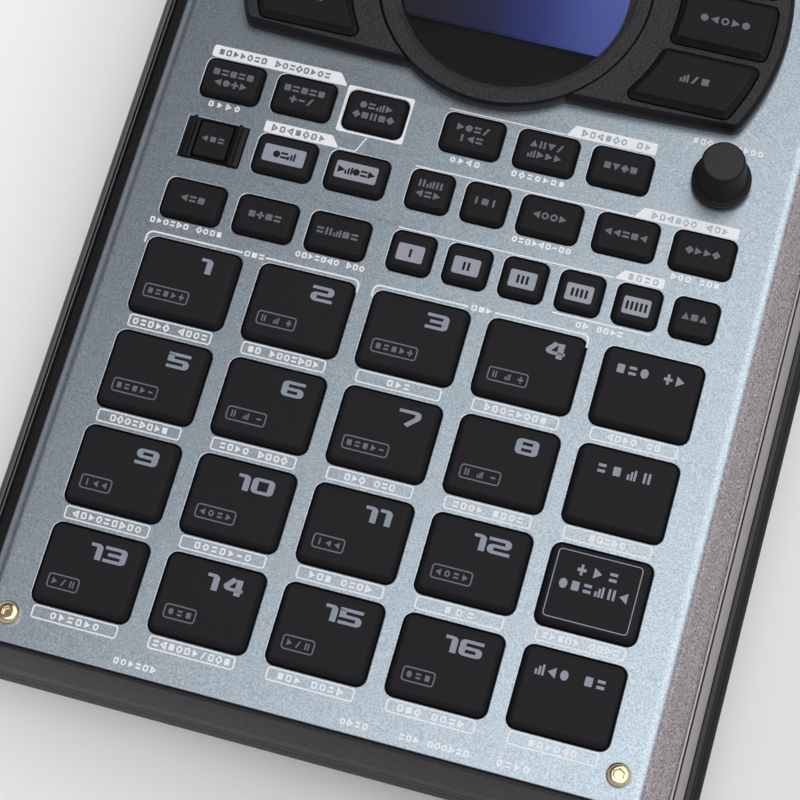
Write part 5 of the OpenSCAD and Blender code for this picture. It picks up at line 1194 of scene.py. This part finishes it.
# ---------------------------------------------------------------------------
# Pieces that keep the solid's own shape: merged copies with finely bevelled edges
# ---------------------------------------------------------------------------
def bevelled_copy(name, node, material, bevel, body="case"):
    """Copy of a CAD node with its triangles joined into flat faces and its edges broken by a small bevel."""
    mesh = frame["nodes"][node].data.copy()
    mesh.name = name
    mesh.materials.clear()
    work = bmesh.new()
    work.from_mesh(mesh)
    bmesh.ops.remove_doubles(work, verts=work.verts, dist=2e-6)
    bmesh.ops.dissolve_limit(work, angle_limit=math.radians(0.6), verts=work.verts, edges=work.edges,
                             delimit=set())
    work.to_mesh(mesh)
    work.free()
    cut = finish_piece(name, mesh, body, material, (node,), 30).modifiers.new("broken_edges", "BEVEL")
    cut.width, cut.segments, cut.limit_method = bevel * MM, 2, "ANGLE"
    cut.angle_limit, cut.harden_normals, cut.use_clamp_overlap = math.radians(35), True, True


def collar(solid, x, r_out, r_in, facing):
    """Turned collar in the mouth of a front (-1) or rear (1) socket: a ring with broken edges, along y."""
    y, z = (-131.5, 12.3) if facing < 0 else (136.1, 18.0)
    proud, depth, n = 0.05, 3.0, 48
    rings = turned([(r_out, -depth), (r_out, proud - 0.12), (r_out - 0.12, proud), (r_in + 0.15, proud),
                    (r_in, proud - 0.15), (r_in, -depth)], n=n)
    placed = np.stack([x + rings[..., 0], y + facing * rings[..., 2], z - facing * rings[..., 1]], -1)
    solid.add(placed, [face[::-1] for face in grid_faces(len(rings), n, wrap_rows=True)])


def build_carried_pieces():
    """Base, boards, small controls and base screws, with the metal collars of their sockets."""
    for name, node, material, slot, bevel in (
            ("base_shell", "bottom_case", BASE_PLASTIC, "case_base", 0.35),
            ("battery_lid", "battery_door", BASE_PLASTIC, "case_base", 0.25),
            ("main_circuit", "main_board", SOLDER_MASK, "board", 0.15),
            ("front_sockets", "front_jack_board", SOCKET_BLACK, "board", 0.15),
            ("rear_sockets", "rear_jack_board", SOCKET_BLACK, "board", 0.15),
            ("base_screw_set", "base_screws", BLACK_STEEL, "screw_black", 0.12),
            ("gain_dial", "gain_knob", KNOB_PLASTIC, "knob_plastic", 0.25),
            ("input_slider", "input_switch", SWITCH_PLASTIC, "switch_plastic", 0.12),
            ("power_slider", "power_switch", SWITCH_PLASTIC, "switch_plastic", 0.15)):
        bevelled_copy(name, node, material, bevel, node if node in frame["bodies"] else "case")
    collars, large, small = Solid(), (5.0, 3.25), (2.8, 1.8)
    for facing, size, places in ((-1, large, (-44.0, 48.0)), (-1, small, (-30.0,)),
                                 (1, large, (13.0, -4.0, -24.0, -41.0)), (1, small, (38.0, 28.0))):
        for x in places:
            collar(collars, x, *size, facing)
    make("socket_collars", collars, "case", STEEL, place=upright)


build_top_sheet()
build_upper_case()
build_pads()
build_keys()
build_guarded_key()
build_effect_section()
build_print()
build_knobs()
build_small_parts()
build_carried_pieces()


# ---------------------------------------------------------------------------
# Floor, light and camera
# ---------------------------------------------------------------------------
def build_floor():
    """Pale floor that keeps the shadow. Where it is looked at, straight or in a mirror, its unlit left side is
    lifted to the same plain paper tone, and far off it turns into one even tone."""
    mesh, half = bpy.data.meshes.new("floor"), 30.0
    mesh.from_pydata([(-half, -half, 0), (half, -half, 0), (half, half, 0), (-half, half, 0)], [], [(0, 1, 2, 3)])
    floor = bpy.data.objects.new("floor", mesh)
    bpy.context.scene.collection.objects.link(floor)
    material, tree, shader = new_material("pale_floor")
    speck = use(tree, GRAIN, scale=6.0, contrast=0.8)["Value"]
    paper = mix_colour(tree, speck, (0.845, 0.825, 0.818), (0.865, 0.845, 0.838))
    shader.inputs["Roughness"].default_value = 0.7
    rays = tree.nodes.new("ShaderNodeLightPath").outputs
    seen = maths(tree, "MAXIMUM", rays["Is Camera Ray"], maths(tree, "MAXIMUM", rays["Is Glossy Ray"],
                                                               rays["Is Transmission Ray"]))
    place = object_point(tree)
    lift = map_range(tree, vectors(tree, "DOT_PRODUCT", place, (-1.0, 0.6, 0.0)), -0.22, 0.08, 0.0, 0.205)
    far = maths(tree, "MULTIPLY", map_range(tree, vectors(tree, "LENGTH", place), 0.25, 1.6), seen)
    level = maths(tree, "ADD", maths(tree, "MULTIPLY", seen, lift),
                  maths(tree, "MULTIPLY", far, maths(tree, "SUBTRACT", 0.70, lift)))
    tree.links.new(mix_colour(tree, far, paper, (0.0, 0.0, 0.0)), shader.inputs["Base Color"])
    tree.links.new(vectors(tree, "SCALE", (1.0, 0.985, 0.98), scale=level), shader.inputs["Emission Color"])
    shader.inputs["Emission Strength"].default_value = 1.0
    mesh.materials.append(material)


def build_light():
    """Room light that fades evenly from the front right to the back left, with pale walls low all round, and one
    soft box that shines straight down from the right."""
    world = bpy.data.worlds.new("studio")
    world.use_nodes = True
    tree = world.node_tree
    way = add_node(tree, "ShaderNodeTexCoord").outputs["Generated"]
    level = map_range(tree, vectors(tree, "DOT_PRODUCT", way, (0.55, -0.72, 0.42)), -0.45, 0.95, 0.01, 0.52)
    height = add_node(tree, "ShaderNodeSeparateXYZ", {0: way}).outputs["Z"]
    wall = map_range(tree, height, 0.45, 0.80, 0.50, 0.0)
    background = tree.nodes["Background"]
    tree.links.new(maths(tree, "MAXIMUM", level, wall), background.inputs["Strength"])
    background.inputs["Color"].default_value = (1.0, 0.955, 1.01, 1)
    bpy.context.scene.world = world
    data = bpy.data.lights.new("window_softbox", "AREA")
    data.shape, data.size, data.size_y = "RECTANGLE", 2.2, 2.8
    data.energy, data.color = 31.0, (0.965, 0.985, 1.0)
    lamp = bpy.data.objects.new("window_softbox", data)
    lamp.location, lamp.rotation_euler = (0.92, 0.22, 1.6), (0.0, 0.0, math.radians(-22.0))
    bpy.context.scene.collection.objects.link(lamp)


def build_camera():
    """Camera above the front right corner; its three points are given in the panel's plane."""
    data = bpy.data.cameras.new("camera")
    data.sensor_width, data.lens = 36.0, 112.766
    data.clip_start, data.clip_end = 0.05, 50.0
    camera = bpy.data.objects.new("camera", data)
    bpy.context.scene.collection.objects.link(camera)
    place, target = on_panel([88.861, -218.882, 544.401]), on_panel([1.242, -55.341, 0.0])
    up_hint = on_panel([-0.23636, 0.91945, 0.31425]) - on_panel([0.0, 0.0, 0.0])
    forward = unit(target - place)
    right = unit(np.cross(forward, up_hint))
    up = np.cross(right, forward)
    camera.matrix_world = Matrix([[*row, place[i]] for i, row in enumerate(np.stack([right, up, -forward], 1))]
                                 + [[0, 0, 0, 1]])
    bpy.context.scene.camera = camera


build_floor()
build_light()
build_camera()
bpy.context.scene.view_settings.view_transform = "Standard"
